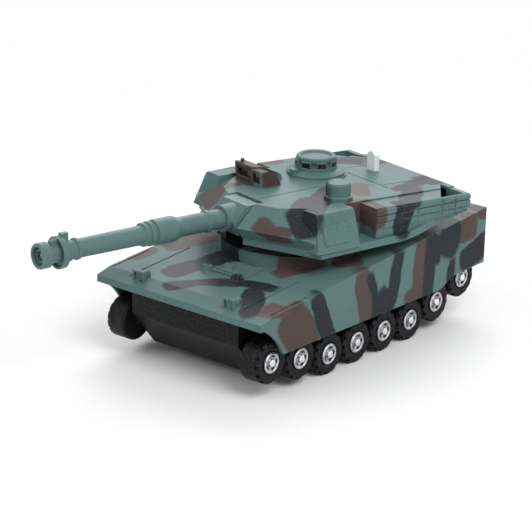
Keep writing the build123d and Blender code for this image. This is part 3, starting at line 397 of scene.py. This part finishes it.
def cheek_bar(x0, z0, x1, z1, half_width, side=1):
    start, end = (side * x0, CHEEK_Y, z0), (side * x1, CHEEK_Y, z1)
    return bar(start, end, half_width, CHEEK_DEPTH, ALONG)


def stowage_bar(y0, z0, y1, z1, half_width, side=1):
    x = side * STOWAGE_X
    return bar((x, y0, z0), (x, y1, z1), half_width, STOWAGE_DEPTH, ACROSS)


TURRET_BROWN = [
    roof_bar(-46, -2, -6, -9, 9.5, 96),
    bar((-40, -8, 98), (-14, -12, 92), 9, 9, ALONG),
    cheek_bar(19, 81.5, 32, 76.5, 3.6),
    cheek_bar(27, 75.5, 42, 77.5, 4.4),
    stowage_bar(7, 96, 12, 72, 6.5),
    bar((36, 15, 84), (60, 13, 84), 8, 10, ALONG),
    stowage_bar(20, 96, 34, 66, 9, -1),
    cheek_bar(20, 88, 46, 70, 7, -1),
    bar((-30, 84, 92), (-16, 84, 68), 9, 10, ALONG),
]
TURRET_RUSSET = [
    roof_bar(10, 40, 33, 24, 5.5),
    roof_bar(38, 17, 58, 7, 6),
]
TURRET_CHARCOAL = [
    bar((32, -22, 92), (52, -30, 80), 6.5, 9, ALONG),
    roof_bar(23, 78, 31, 48, 5.5),
    stowage_bar(38, 96, 33, 68, 6.5),
    stowage_bar(-10, 94, 4, 66, 8, -1),
    stowage_bar(56, 96, 66, 66, 8, -1),
    bar((18, 84, 92), (34, 84, 70), 9, 10, ALONG),
    roof_bar(-46, 50, -26, 76, 9),
]
TURRET_VIOLET = [
    roof_bar(9, 24, 25, -4, 6),
    roof_bar(22, 0, 56, -42, 10.5),
    roof_bar(29, 66, 64, 30, 7),
]
print(len(TURRET_BROWN + TURRET_RUSSET + TURRET_CHARCOAL + TURRET_VIOLET), "bars on the turret")

# %% [markdown]
# Russet is a redder run of the brown. A later colour lies over an earlier one, so charcoal ends up on top, as the
# darkest paint does on the toy; on the hull this coat also carries the painted shadow under the turret's front.

# %% The two camouflaged plastics
def camouflage(name, origin, turn, coats):
    """Green plastic under coats of (colour, patches), which are placed from origin."""
    recipe = Recipe(name)
    place = shaken(recipe, origin, turn)
    paint = GREEN
    for colour, patches in coats:
        paint = recipe.mix(paint, colour, sprayed(recipe, place, patches))
    inputs = moulded(recipe, paint, GREEN_WORN, wear=0.4, grain=0.00004, rough=0.36, specular=0.08)
    return recipe.finish(inputs)


hull_camouflage = camouflage("hull_camouflage", hull_origin, 0.0, [
    (BROWN, HULL_BROWN), (RUSSET, HULL_RUSSET), (VIOLET, HULL_VIOLET), (CHARCOAL, HULL_CHARCOAL_AND_SHADOW),
])
turret_camouflage = camouflage("turret_camouflage", turret_origin, -turret_yaw, [
    (BROWN, TURRET_BROWN), (RUSSET, TURRET_RUSSET), (VIOLET, TURRET_VIOLET),
    (CHARCOAL, TURRET_CHARCOAL),
])
print("hull recipe:", len(hull_camouflage.node_tree.nodes), "nodes")

# %% [markdown]
# The gun and its shield are moulded in the same green and not sprayed. Chassis, turret floor and gearbox are black
# plastic, the wheels a softer black, and the button and gears are white. The window panes are nearly black and
# glossy: painted shade in the recesses of the cupola and the sight.

# %% Plain plastics
DULL_SPECULAR = 0.14


def plastic(name, colour, worn, wear, grain, rough, specular=PLAIN_SPECULAR):
    """Moulded plastic of one colour."""
    recipe = Recipe(name)
    return recipe.finish(moulded(recipe, colour, worn, wear, grain, rough, specular))


green_plastic = plastic("green_plastic", srgb(90, 118, 115), GREEN_WORN, 0.4, 0.00003, 0.34, 0.16)
# painted shade: nearly black glossy panes that stand for the shade inside the cupola's window blocks and the
# sight's recesses
painted_shade_panes = plastic("painted_shade_panes", srgb(6, 15, 18), srgb(20, 36, 40), 0.3, 0.00001, 0.14)
black_plastic = plastic(
    "black_plastic", srgb(12, 13, 16), srgb(40, 42, 46), 0.35, 0.00006, 0.46, DULL_SPECULAR
)
wheel_plastic = plastic(
    "wheel_plastic", srgb(11, 12, 15), srgb(42, 43, 48), 0.4, 0.00008, 0.48, DULL_SPECULAR
)
white_plastic = plastic(
    "white_plastic", srgb(238, 243, 244), srgb(250, 251, 252), 0.4, 0.00002, 0.3
)
white_nylon = plastic("white_nylon", srgb(226, 225, 216), srgb(240, 240, 234), 0.3, 0.00003, 0.42)
speaker_case = plastic("speaker_case", srgb(38, 38, 42), srgb(90, 90, 94), 0.4, 0.00005, 0.6)
print("chassis and wheels share a specular level of", DULL_SPECULAR)

# %% [markdown]
# Shafts, screws, pins, the flywheel, the cells and their contacts are bare metal. It dulls in small
# clouds and on its edges, and marks of a millimetre or less break up its shine. Steel, nickel and
# brass differ in their colours and in the size of the marks.

# %% Metals
MARK_DEPTH = 0.00001


def metal(name, colour, dull, rough, mark_size, mark_depth=MARK_DEPTH):
    """A metal whose colour dulls in clouds, with fine marks pressed into it."""
    recipe = Recipe(name)
    place = recipe.place()
    clouds = recipe.noise(place, 0.004, 3.0)
    marks = recipe.noise(place, mark_size, 2.0, 0.7)
    shade = recipe.mix(colour, dull, clouds.ramp(0.4, 0.75, 0.0, 0.6))
    shade = recipe.mix(shade, dull, edge_mask(recipe, 0.0003) * 0.35)
    return recipe.finish({
        "Base Color": shade,
        "Roughness": marks.ramp(0.3, 0.7, rough - 0.06, rough + 0.08),
        "Normal": recipe.bump(marks, mark_depth, recipe.soft_edges(0.0002)),
        "Metallic": 1.0,
    })


steel = metal("steel", srgb(188, 190, 194), srgb(120, 122, 126), 0.3, 0.0006)
flywheel_steel = metal(
    "flywheel_steel", srgb(160, 162, 166), srgb(96, 98, 102), 0.34, 0.0008, 2 * MARK_DEPTH
)
battery_steel = metal("battery_steel", srgb(206, 206, 204), srgb(150, 150, 148), 0.28, 0.001)
contact_brass = metal("contact_brass", srgb(214, 178, 104), srgb(140, 108, 60), 0.3, 0.0008)
print("each metal recipe:", len(steel.node_tree.nodes), "nodes")

# %% [markdown]
# A hubcap is plated by evaporating metal on to plastic, which leaves it bright and a little uneven.
# It has a shiny rim, and a centre painted paler as a highlight. Between them is a ring of pressed dimples,
# darkened with painted shade. How far a point is from its own axle, and in which direction, places the dimples, so
# each axle gets its own copy of the recipe and the dimples turn with the wheel.

# %% Plated hubcaps
AXLES = 8
DIMPLES = 5.0
low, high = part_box("axle_1_hubcaps")
HUB_RADIUS = (high.z - low.z) / 2 / MM


def hubcap_plating(name, axle):
    """Plating with its dimples round axle, painted shade in the dimples and a painted highlight at the centre;
    distances from the axle are in millimetres.
    """
    recipe = Recipe(name)
    place = recipe.place()
    away = recipe.node("VectorMath", {"operation": "SUBTRACT"}, {0: place, 1: axle})
    flat = {0: away, 1: (0.0, 1 / MM, 1 / MM)}
    across = recipe.node("VectorMath", {"operation": "MULTIPLY"}, flat)
    radius = recipe.node("VectorMath", {"operation": "LENGTH"}, {0: across}, output=1)
    y = recipe.node("SeparateXYZ", {}, {0: across}, output=1)
    z = recipe.node("SeparateXYZ", {}, {0: across}, output=2)
    angle = recipe.node("Math", {"operation": "ARCTAN2"}, {0: z, 1: y})
    petals = recipe.node("Math", {"operation": "COSINE"}, {0: angle * DIMPLES})
    band = radius.ramp(2.7, 3.4) * radius.ramp(HUB_RADIUS - 1.3, HUB_RADIUS - 2.0)
    dimples = petals.ramp(-0.35, 0.25) * band
    clouds = recipe.noise(place, 0.003, 3.0)
    shade = recipe.mix(srgb(206, 207, 210), srgb(150, 151, 155), clouds.ramp(0.35, 0.75))
    shade = recipe.mix(shade, srgb(120, 121, 126), band * 0.6)
    # painted shade: the dimples are darkened nearly to black, as shade in their hollows
    shade = recipe.mix(shade, srgb(34, 34, 38), dimples)
    # painted highlight: the centre is made paler than the rim, as the lamps' reflection on it
    shade = recipe.mix(shade, srgb(236, 237, 238), radius.ramp(2.3, 1.6))
    marks = recipe.noise(place, 0.0008, 2.0, 0.7)
    marked = recipe.bump(marks, MARK_DEPTH, recipe.soft_edges(0.0002))
    return recipe.finish({
        "Base Color": shade,
        "Metallic": 1.0,
        "Roughness": marks.ramp(0.3, 0.7, 0.24, 0.38) + dimples * 0.25,
        "Normal": recipe.bump(0.0 - dimples, 0.0003, marked),
    })


hub_finishes = {}
for number in range(1, AXLES + 1):
    axle = Vector(joints[f"axle_{number}_spin"]["pos_m"])
    hub_finishes[f"axle_{number}_hubcaps"] = hubcap_plating(f"hubcap_{number}", axle)
print("hubcaps of radius", round(HUB_RADIUS, 2), "mm on", len(hub_finishes), "axles")

# %% [markdown]
# A circuit board is glass cloth under green lacquer, with copper tracks that stand out a little
# beneath it and bare tinned pads. Cells measured along the board's own directions give tracks with
# square corners, and round cells give the pads.

# %% Circuit board and lamp resin
def board_lacquer(name):
    recipe = Recipe(name)
    place = recipe.place()
    squares = recipe.node(
        "TexVoronoi",
        {"feature": "F1", "distance": "MANHATTAN"},
        {"Vector": place, "Scale": 420.0, "Randomness": 0.6},
    )
    rounds = recipe.node(
        "TexVoronoi", {"feature": "F1"}, {"Vector": place, "Scale": 300.0, "Randomness": 0.35}
    )
    tracks = squares.ramp(0.30, 0.24)
    pads = rounds.ramp(0.24, 0.2)
    colour = recipe.mix(srgb(22, 92, 52), srgb(34, 116, 66), tracks)
    colour = recipe.mix(colour, srgb(196, 194, 186), pads)
    return recipe.finish({
        "Base Color": colour,
        "Roughness": pads.ramp(0.0, 1.0, 0.28, 0.38),
        "Metallic": pads,
        "Normal": recipe.bump(tracks + pads, 0.00004),
    })


def lamp_resin(name):
    """Clear epoxy of a small lamp: glassy, with faint flow lines from its mould."""
    recipe = Recipe(name)
    flow = recipe.noise(recipe.place(), 0.002, 3.0)
    return recipe.finish({
        "Base Color": recipe.mix(srgb(236, 240, 244), srgb(214, 222, 230), flow),
        "Roughness": flow.ramp(0.3, 0.7, 0.05, 0.14),
        "Transmission Weight": 0.7,
        "IOR": 1.5,
        "Normal": recipe.bump(flow, 0.00002),
    })


circuit_board = board_lacquer("circuit_board")
clear_resin = lamp_resin("clear_resin")
print("board recipe:", len(circuit_board.node_tree.nodes), "nodes")

# %% [markdown]
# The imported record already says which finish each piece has. A piece keeps that slot, and the
# material in it is exchanged. Sprayed pieces on the turret take the turret's own camouflage, and
# the hubcaps, which the record calls plated, take their axle's.

# %% Give every CAD piece its finish
finishes = {
    "camouflage_plastic": hull_camouflage,
    "green_plastic": green_plastic,
    "black_plastic": black_plastic,
    "wheel_plastic": wheel_plastic,
    "steel": steel,
    "flywheel_steel": flywheel_steel,
    "white_nylon": white_nylon,
    "circuit_board": circuit_board,
    "battery_steel": battery_steel,
    "contact_brass": contact_brass,
    "speaker_case": speaker_case,
    "white_plastic": white_plastic,
    "clear_resin": clear_resin,
}
slot_of = {piece["node"]: piece["material_slot"] for piece in frame["record"]["subparts"]}
turret_pieces = frame["record"]["behaviour"]["bodies"]["turret"]
given = set()
for name, piece in nodes.items():
    finish = hub_finishes.get(name) or finishes[slot_of[name]]
    if finish is hull_camouflage and name in turret_pieces:
        finish = turret_camouflage
    for slot in piece.material_slots:
        slot.material = finish
    given.add(finish.name)
print("finished", len(nodes), "pieces with", len(given), "materials")

# %% [markdown]
# A few small pieces carry more shape than their CAD solids: the muzzle with a collar round its
# lamp, the commander's cupola with its ring of windows, the gunner's sight with two framed windows,
# and the button's spring. They are turned and built from outlines in millimetres, joined with the
# exact Boolean so that each is one closed skin, and then put in place. Sculpting them by hand would
# look softer, but the real pieces come from a machined mould with plain, crisp outlines.

# %% Closed solids from outlines
ROUND_STEPS = 96
ROD_STEPS = 24
SHARP_ANGLE = math.radians(32)


def shown(name, data):
    """A new object in the scene."""
    made = bpy.data.objects.new(name, data)
    bpy.context.collection.objects.link(made)
    return made


def solid(name, build):
    """An object whose mesh build() fills; closed, with its faces turned outwards."""
    builder = bmesh.new()
    build(builder)
    bmesh.ops.recalc_face_normals(builder, faces=builder.faces)
    mesh = bpy.data.meshes.new(name)
    builder.to_mesh(mesh)
    builder.free()
    return shown(name, mesh)


def lathe(name, outline, steps=ROUND_STEPS):
    """A solid turned about z from (radius, height) points that start and end on the axis."""
    def build(builder):
        rings = []
        for radius, height in outline:
            count = 1 if radius == 0 else steps
            angles = [2 * math.pi * step / steps for step in range(count)]
            rings.append([builder.verts.new((radius * math.cos(a), radius * math.sin(a), height))
                          for a in angles])
        for lower, upper in zip(rings, rings[1:]):
            for step in range(steps):
                after = (step + 1) % steps
                corners = [lower[step % len(lower)], lower[after % len(lower)],
                           upper[after % len(upper)], upper[step % len(upper)]]
                corners = list(dict.fromkeys(corners))
                if len(corners) > 2:
                    builder.faces.new(corners)
    return solid(name, build)


def prism(name, outline, start, end):
    """An outline in (y, z), drawn out along x from start to end."""
    def build(builder):
        near = [builder.verts.new((start, y, z)) for y, z in outline]
        far = [builder.verts.new((end, y, z)) for y, z in outline]
        builder.faces.new(near)
        builder.faces.new(far)
        for index in range(len(outline)):
            after = (index + 1) % len(outline)
            builder.faces.new((near[index], near[after], far[after], far[index]))
    return solid(name, build)


def brick(name, lowest, highest):
    """A box between two corners."""
    (x0, y0, z0), (x1, y1, z1) = lowest, highest
    return prism(name, [(y0, z0), (y1, z0), (y1, z1), (y0, z1)], x0, x1)


def fitted(name, base, others, place, finish):
    """base joined with or cut by (operation, solid) pairs, then moved into the toy's frame."""
    for operation, other in others:
        boolean = base.modifiers.new(operation, "BOOLEAN")
        boolean.operation = operation
        boolean.solver = "EXACT"
        boolean.object = other
    shape = base.evaluated_get(bpy.context.evaluated_depsgraph_get())
    mesh = bpy.data.meshes.new_from_object(shape)
    for spare in [base] + [other for _, other in others]:
        bpy.data.objects.remove(spare)
    mesh.name = name
    mesh.transform(place)
    mesh.materials.clear()
    mesh.materials.append(finish)
    mesh.polygons.foreach_set("use_smooth", [True] * len(mesh.polygons))
    mesh.set_sharp_from_angle(angle=SHARP_ANGLE)
    print(name, "has", len(mesh.polygons), "faces")
    return shown(name, mesh)


def turret_place(middle):
    """From millimetres round middle, square to the turret, to metres in the toy's frame."""
    return Matrix.Translation(middle) @ Matrix.Rotation(-turret_yaw, 4, "Z") @ Matrix.Scale(MM, 4)


# %% [markdown]
# The muzzle is a turned piece: a flange hollowed like a cup, a neck, and an open ring with a small
# collar round the lamp. Its outline starts at the back on the axis and ends inside the lamp's bore;
# each point is (distance from the axis, distance past the muzzle's front). The stepped tab on top
# stands for the sight that keeps the real gun lined up.

# %% Muzzle
HINGE_TO_MUZZLE = 139.8
TAB_HALF_WIDTH = 1.5
muzzle_outline = [
    (0, -19), (6.0, -19), (6.0, -15.5), (8.9, -14.8), (8.9, -11.4), (7.8, -11.4), (7.5, -13.0),
    (5.2, -13.0), (5.2, -6.2), (7.1, -5.6), (7.1, -0.6), (6.7, 0), (5.3, 0), (5.0, -3.8),
    (3.8, -3.8), (3.8, -1.4), (2.9, -1.2), (2.7, -8.0), (2.25, -8.0), (2.25, -13.1), (0, -13.1),
]
tab_outline = [
    (4.5, -7.0), (7.0, -7.5), (8.4, -11.0), (8.7, -14.0), (10.4, -14.2), (10.4, -18.4),
    (4.5, -18.4),
]
along_gun = Matrix.Rotation(math.radians(90), 4, "X")
gun_hinge = Vector(joints["gun_elevation"]["pos_m"])
muzzle_place = turret_place(gun_hinge) @ Matrix.Translation((0, -HINGE_TO_MUZZLE, 0)) @ along_gun
muzzle = fitted(
    "muzzle_shape",
    lathe("muzzle_body", muzzle_outline),
    [("UNION", prism("muzzle_tabs", tab_outline, -TAB_HALF_WIDTH, TAB_HALF_WIDTH))],
    muzzle_place,
    green_plastic,
)
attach(muzzle, "gun")
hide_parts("muzzle")

# %% [markdown]
# The cupola is turned too, with a groove that its eight window blocks stand in. Each window is a dark glossy pane
# on the face of its block, painted shade for the dark inside the block. The panes are one more piece, so they can
# have their own finish. A small mount for a machine gun stands on the foot in front.

# %% Commander's cupola
WINDOWS = 8
FOOT = 5.5
low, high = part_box("commander_cupola")
base_radius = (high.x - low.x) / 2
cupola_place = turret_place(Vector(((low.x + high.x) / 2, high.y - base_radius, low.z)))
RING = base_radius / MM - FOOT
TOP = (high.z - low.z) / MM
cupola_outline = [
    (0, 0), (RING + FOOT, 0), (RING + FOOT, 1.4), (RING + 3.0, 2.6), (RING + 0.9, 3.0),
    (RING + 0.9, 5.0), (RING - 1.2, 5.4), (RING - 1.2, 8.2), (RING, 8.5), (RING, TOP - 0.6),
    (RING - 0.8, TOP), (RING - 2.4, TOP - 0.2), (RING - 3.2, TOP - 1.2), (0, TOP - 0.6),
]
blocks, panes = [], []
for window in range(WINDOWS):
    turn = Matrix.Rotation(math.radians(360 / WINDOWS * (window + 0.5)), 4, "Z")
    block = brick("window_block", (RING - 2.0, -3.0, 4.8), (RING + 0.4, 3.0, 8.5))
    # painted shade: a dark sheet on each window block's face, where the block's inside is in shade
    pane = brick("cupola_shade_pane", (RING + 0.2, -2.5, 5.2), (RING + 0.52, 2.5, 8.1))
    for made in (block, pane):
        made.data.transform(turn)
    blocks.append(("UNION", block))
    panes.append(("UNION", pane))
mount = brick("gun_mount", (-2.0, -RING - 6.6, 0.0), (2.0, -RING - 2.6, 4.5))
cupola = fitted(
    "cupola_shape",
    lathe("cupola_body", cupola_outline),
    blocks + [("UNION", mount)],
    cupola_place,
    turret_camouflage,
)
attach(cupola, "turret")
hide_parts("commander_cupola")
# the cupola's panes of painted shade
windows = fitted("cupola_shade_panes", panes[0][1], panes[1:], cupola_place, painted_shade_panes)
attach(windows, "turret")

# %% [markdown]
# The gunner's sight is a box with a sloping rear cover and, beside it, a second framed window. Both windows are
# recesses with a dark pane of painted shade at the back, a bar crosses the larger one, and a short peg stands on
# top. The sight lies on the turret's right side, so x runs up towards its middle.

# %% Gunner's sight
PEG_ROOM = 1.7
low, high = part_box("gunner_sight")
SIGHT_TOP = (high.z - low.z) / MM - PEG_ROOM
sight_place = turret_place(Vector((turret_origin.x, turret_origin.y, low.z)))
OUTER, SPLIT, INNER, FRONT, BACK = -35.3, -18.7, -9.7, -14.5, 0.5
BAR_HEIGHT = 7.5
main_outline = [
    (FRONT, 0), (BACK + 6, 0), (BACK + 5, 3), (BACK, SIGHT_TOP - 5), (BACK - 8, SIGHT_TOP - 1.2),
    (FRONT - 1, SIGHT_TOP),
]
side_outline = [
    (FRONT - 1.6, 0), (BACK - 2, 0), (BACK - 5, SIGHT_TOP - 4.5), (FRONT + 4, SIGHT_TOP - 1.4),
    (FRONT - 1.6, SIGHT_TOP - 1.0),
]


def rod(name, radius, start, end):
    """A round rod along z from start to end."""
    return lathe(name, [(0, start), (radius, start), (radius, end), (0, end)], ROD_STEPS)


peg = rod("sight_peg", 1.1, SIGHT_TOP - 1.4, SIGHT_TOP + 1.5)
peg.data.transform(Matrix.Translation((OUTER + 3.2, FRONT + 2.2, 0)))
bar_across = rod("sight_bar", 0.7, OUTER, SPLIT)
bar_across.data.transform(Matrix.Rotation(math.radians(90), 4, "Y"))
bar_across.data.transform(Matrix.Translation((0, FRONT + 0.6, BAR_HEIGHT)))
side_box = prism("sight_side", side_outline, SPLIT - 0.5, INNER)
side_recess = brick(
    "side_recess",
    (SPLIT + 1.2, FRONT - 5, 2.0),
    (INNER - 1.2, FRONT - 0.2, SIGHT_TOP - 2.6),
)
main_recess = brick(
    "main_recess",
    (OUTER + 1.6, FRONT - 3, 2.5),
    (SPLIT - 1.6, FRONT + 1.4, SIGHT_TOP - 1.8),
)
sight = fitted(
    "sight_shape",
    prism("sight_body", main_outline, OUTER, SPLIT),
    [
        ("UNION", side_box),
        ("DIFFERENCE", side_recess),
        ("DIFFERENCE", main_recess),
        ("UNION", bar_across),
        ("UNION", peg),
    ],
    sight_place,
    turret_camouflage,
)
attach(sight, "turret")
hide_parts("gunner_sight")
# painted shade: dark sheets at the back of the two recesses, where shade falls
main_shade_pane = brick(
    "main_shade_pane",
    (OUTER + 1.7, FRONT + 1.25, 2.6),
    (SPLIT - 1.7, FRONT + 1.38, SIGHT_TOP - 1.9),
)
side_shade_pane = brick(
    "side_shade_pane",
    (SPLIT + 1.3, FRONT - 0.35, 2.1),
    (INNER - 1.3, FRONT - 0.22, SIGHT_TOP - 2.7),
)
sight_panes = fitted(
    "sight_shade_panes", main_shade_pane, [("UNION", side_shade_pane)], sight_place, painted_shade_panes
)
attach(sight_panes, "turret")

# %% [markdown]
# The button's spring is a steel wire wound round its foot. A curve with a round section is the simplest way to a
# clean helix. On the toy, the wire closes up when the button is pressed.

# %% Button spring
WIRE = 0.6 * MM
TURNS = 5
STEPS_PER_TURN = 24
STEPS = STEPS_PER_TURN * TURNS
low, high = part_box("button_spring")
middle = ((low.x + high.x) / 2, (low.y + high.y) / 2)
coil_radius = (high.x - low.x) / 2 - WIRE / 2
coil = bpy.data.curves.new("spring_wire", "CURVE")
coil.dimensions = "3D"
coil.bevel_depth = WIRE / 2
coil.bevel_resolution = 3
coil.use_fill_caps = True
wire = coil.splines.new("POLY")
wire.points.add(STEPS)
for step in range(STEPS + 1):
    angle = 2 * math.pi * TURNS * step / STEPS
    x = middle[0] + coil_radius * math.cos(angle)
    y = middle[1] + coil_radius * math.sin(angle)
    z = low.z + WIRE / 2 + (high.z - low.z - WIRE) * step / STEPS
    wire.points[step].co = (x, y, z, 1.0)
winding = shown("spring_winding", coil)
wound = winding.evaluated_get(bpy.context.evaluated_depsgraph_get())
spring_mesh = bpy.data.meshes.new_from_object(wound)
bpy.data.objects.remove(winding)
spring_mesh.materials.clear()
spring_mesh.materials.append(steel)
spring = shown("spring_shape", spring_mesh)
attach(spring, "turret")
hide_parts("button_spring")
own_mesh(spring)

# %% [markdown]
# The studio has a pale floor that fades into white, so no horizon shows. To the camera and in
# reflections the surroundings are plain white, and for lighting they are a dim grey.

# %% Floor
FLOOR_HALF_SIZE = 3.0
FADE_START, FADE_END = 0.22, 0.6


def square_sheet(name, half, middle):
    corners = [(middle.x + x * half, middle.y + y * half, 0.0)
               for x, y in ((-1, -1), (1, -1), (1, 1), (-1, 1))]
    mesh = bpy.data.meshes.new(name)
    mesh.from_pydata(corners, [], [(0, 1, 2, 3)])
    return shown(name, mesh)


def floor_paper(middle):
    """Pale paper that turns clear away from the toy."""
    recipe = Recipe("floor_paper")
    place = recipe.place()
    fibres = recipe.noise(place, 0.003, 2.0)
    paper = recipe.node("BsdfPrincipled", {}, {
        "Base Color": recipe.mix(srgb(246, 246, 246), srgb(250, 250, 250), fibres),
        "Roughness": 0.9,
        "Specular IOR Level": 0.1,
    })
    clear = recipe.node("BsdfTransparent")
    distance = recipe.node("VectorMath", {"operation": "DISTANCE"}, {0: place, 1: middle}, output=1)
    fade = distance.ramp(FADE_START, FADE_END)
    faded = recipe.node("MixShader", {}, {0: fade, 1: paper, 2: clear})
    recipe.node("OutputMaterial", {}, {"Surface": faded})
    return recipe.material


low, high = cad_box
centre = (low + high) / 2
floor = square_sheet("floor", FLOOR_HALF_SIZE, centre)
floor.data.materials.append(floor_paper(Vector((centre.x, centre.y, 0.0))))
print("floor of", 2 * FLOOR_HALF_SIZE, "m, gone at", FADE_END, "m from the toy")

# %% Surroundings
LIGHTING_STRENGTH = 0.4
SEEN_STRENGTH = 1.0


def surroundings():
    world = bpy.data.worlds.new("surroundings")
    bpy.context.scene.world = world
    world.use_nodes = True
    tree = world.node_tree
    tree.nodes.clear()
    path = tree.nodes.new("ShaderNodeLightPath")
    seen = path.outputs["Is Camera Ray"]
    for ray in ("Is Glossy Ray", "Is Transmission Ray"):
        either = tree.nodes.new("ShaderNodeMath")
        either.operation = "MAXIMUM"
        tree.links.new(seen, either.inputs[0])
        tree.links.new(path.outputs[ray], either.inputs[1])
        seen = either.outputs[0]
    strength = tree.nodes.new("ShaderNodeMapRange")
    strength.inputs["To Min"].default_value = LIGHTING_STRENGTH
    strength.inputs["To Max"].default_value = SEEN_STRENGTH
    tree.links.new(seen, strength.inputs["Value"])
    background = tree.nodes.new("ShaderNodeBackground")
    background.inputs["Color"].default_value = WHITE
    tree.links.new(strength.outputs["Result"], background.inputs["Strength"])
    output = tree.nodes.new("ShaderNodeOutputWorld")
    tree.links.new(background.outputs[0], output.inputs["Surface"])


surroundings()
print("surroundings light the toy at", LIGHTING_STRENGTH, "and look", SEEN_STRENGTH)

# %% [markdown]
# One broad lamp stands high over the toy's left side, a weaker one in front, and a third behind,
# for the sheen along the roof. A lamp is placed by its bearing round the toy, which is 0 in front
# of the bow and 90 at the left side, by its height above the floor in degrees and by its distance.

# %% Lamps
def towards(bearing, elevation):
    """The direction from the toy to a lamp or camera."""
    turn, tilt = math.radians(bearing), math.radians(elevation)
    flat = math.cos(tilt)
    return Vector((math.sin(turn) * flat, -math.cos(turn) * flat, math.sin(tilt)))


def softbox(name, bearing, elevation, distance, size, power):
    """A square lamp facing the toy."""
    light = bpy.data.lights.new(name, "AREA")
    light.size = size
    light.energy = power
    lamp = shown(name, light)
    away = towards(bearing, elevation)
    lamp.location = centre + away * distance
    lamp.rotation_euler = away.to_track_quat("Z", "Y").to_euler()
    print(name, "of", power, "W")


softbox("key_lamp", 70, 46, 1.3, 0.7, 10.0)
softbox("fill_lamp", -20, 40, 1.5, 1.0, 5.0)
softbox("sheen_lamp", 210, 38, 1.4, 1.1, 10.5)

# %% [markdown]
# A long lens from well back keeps the hull's edges nearly parallel, as in a catalogue picture. The
# camera is placed like the lamps, by its bearing, height and distance from the middle of the toy,
# and then rolled a little.

# %% Camera
CAMERA_BEARING = 39.68
CAMERA_ELEVATION = 18.92
CAMERA_DISTANCE = 1.249
CAMERA_ROLL = 1.36

lens = bpy.data.cameras.new("camera")
lens.sensor_width = 36.0
lens.lens = 150.0
camera = shown("camera", lens)
back = towards(CAMERA_BEARING, CAMERA_ELEVATION)
camera.location = centre + back * CAMERA_DISTANCE
aim = back.to_track_quat("Z", "Y").to_matrix() @ Matrix.Rotation(math.radians(CAMERA_ROLL), 3, "Z")
camera.rotation_euler = aim.to_euler()
bpy.context.scene.camera = camera
bpy.context.scene.view_settings.view_transform = "Standard"
print("camera", CAMERA_DISTANCE, "m from the middle of the toy")
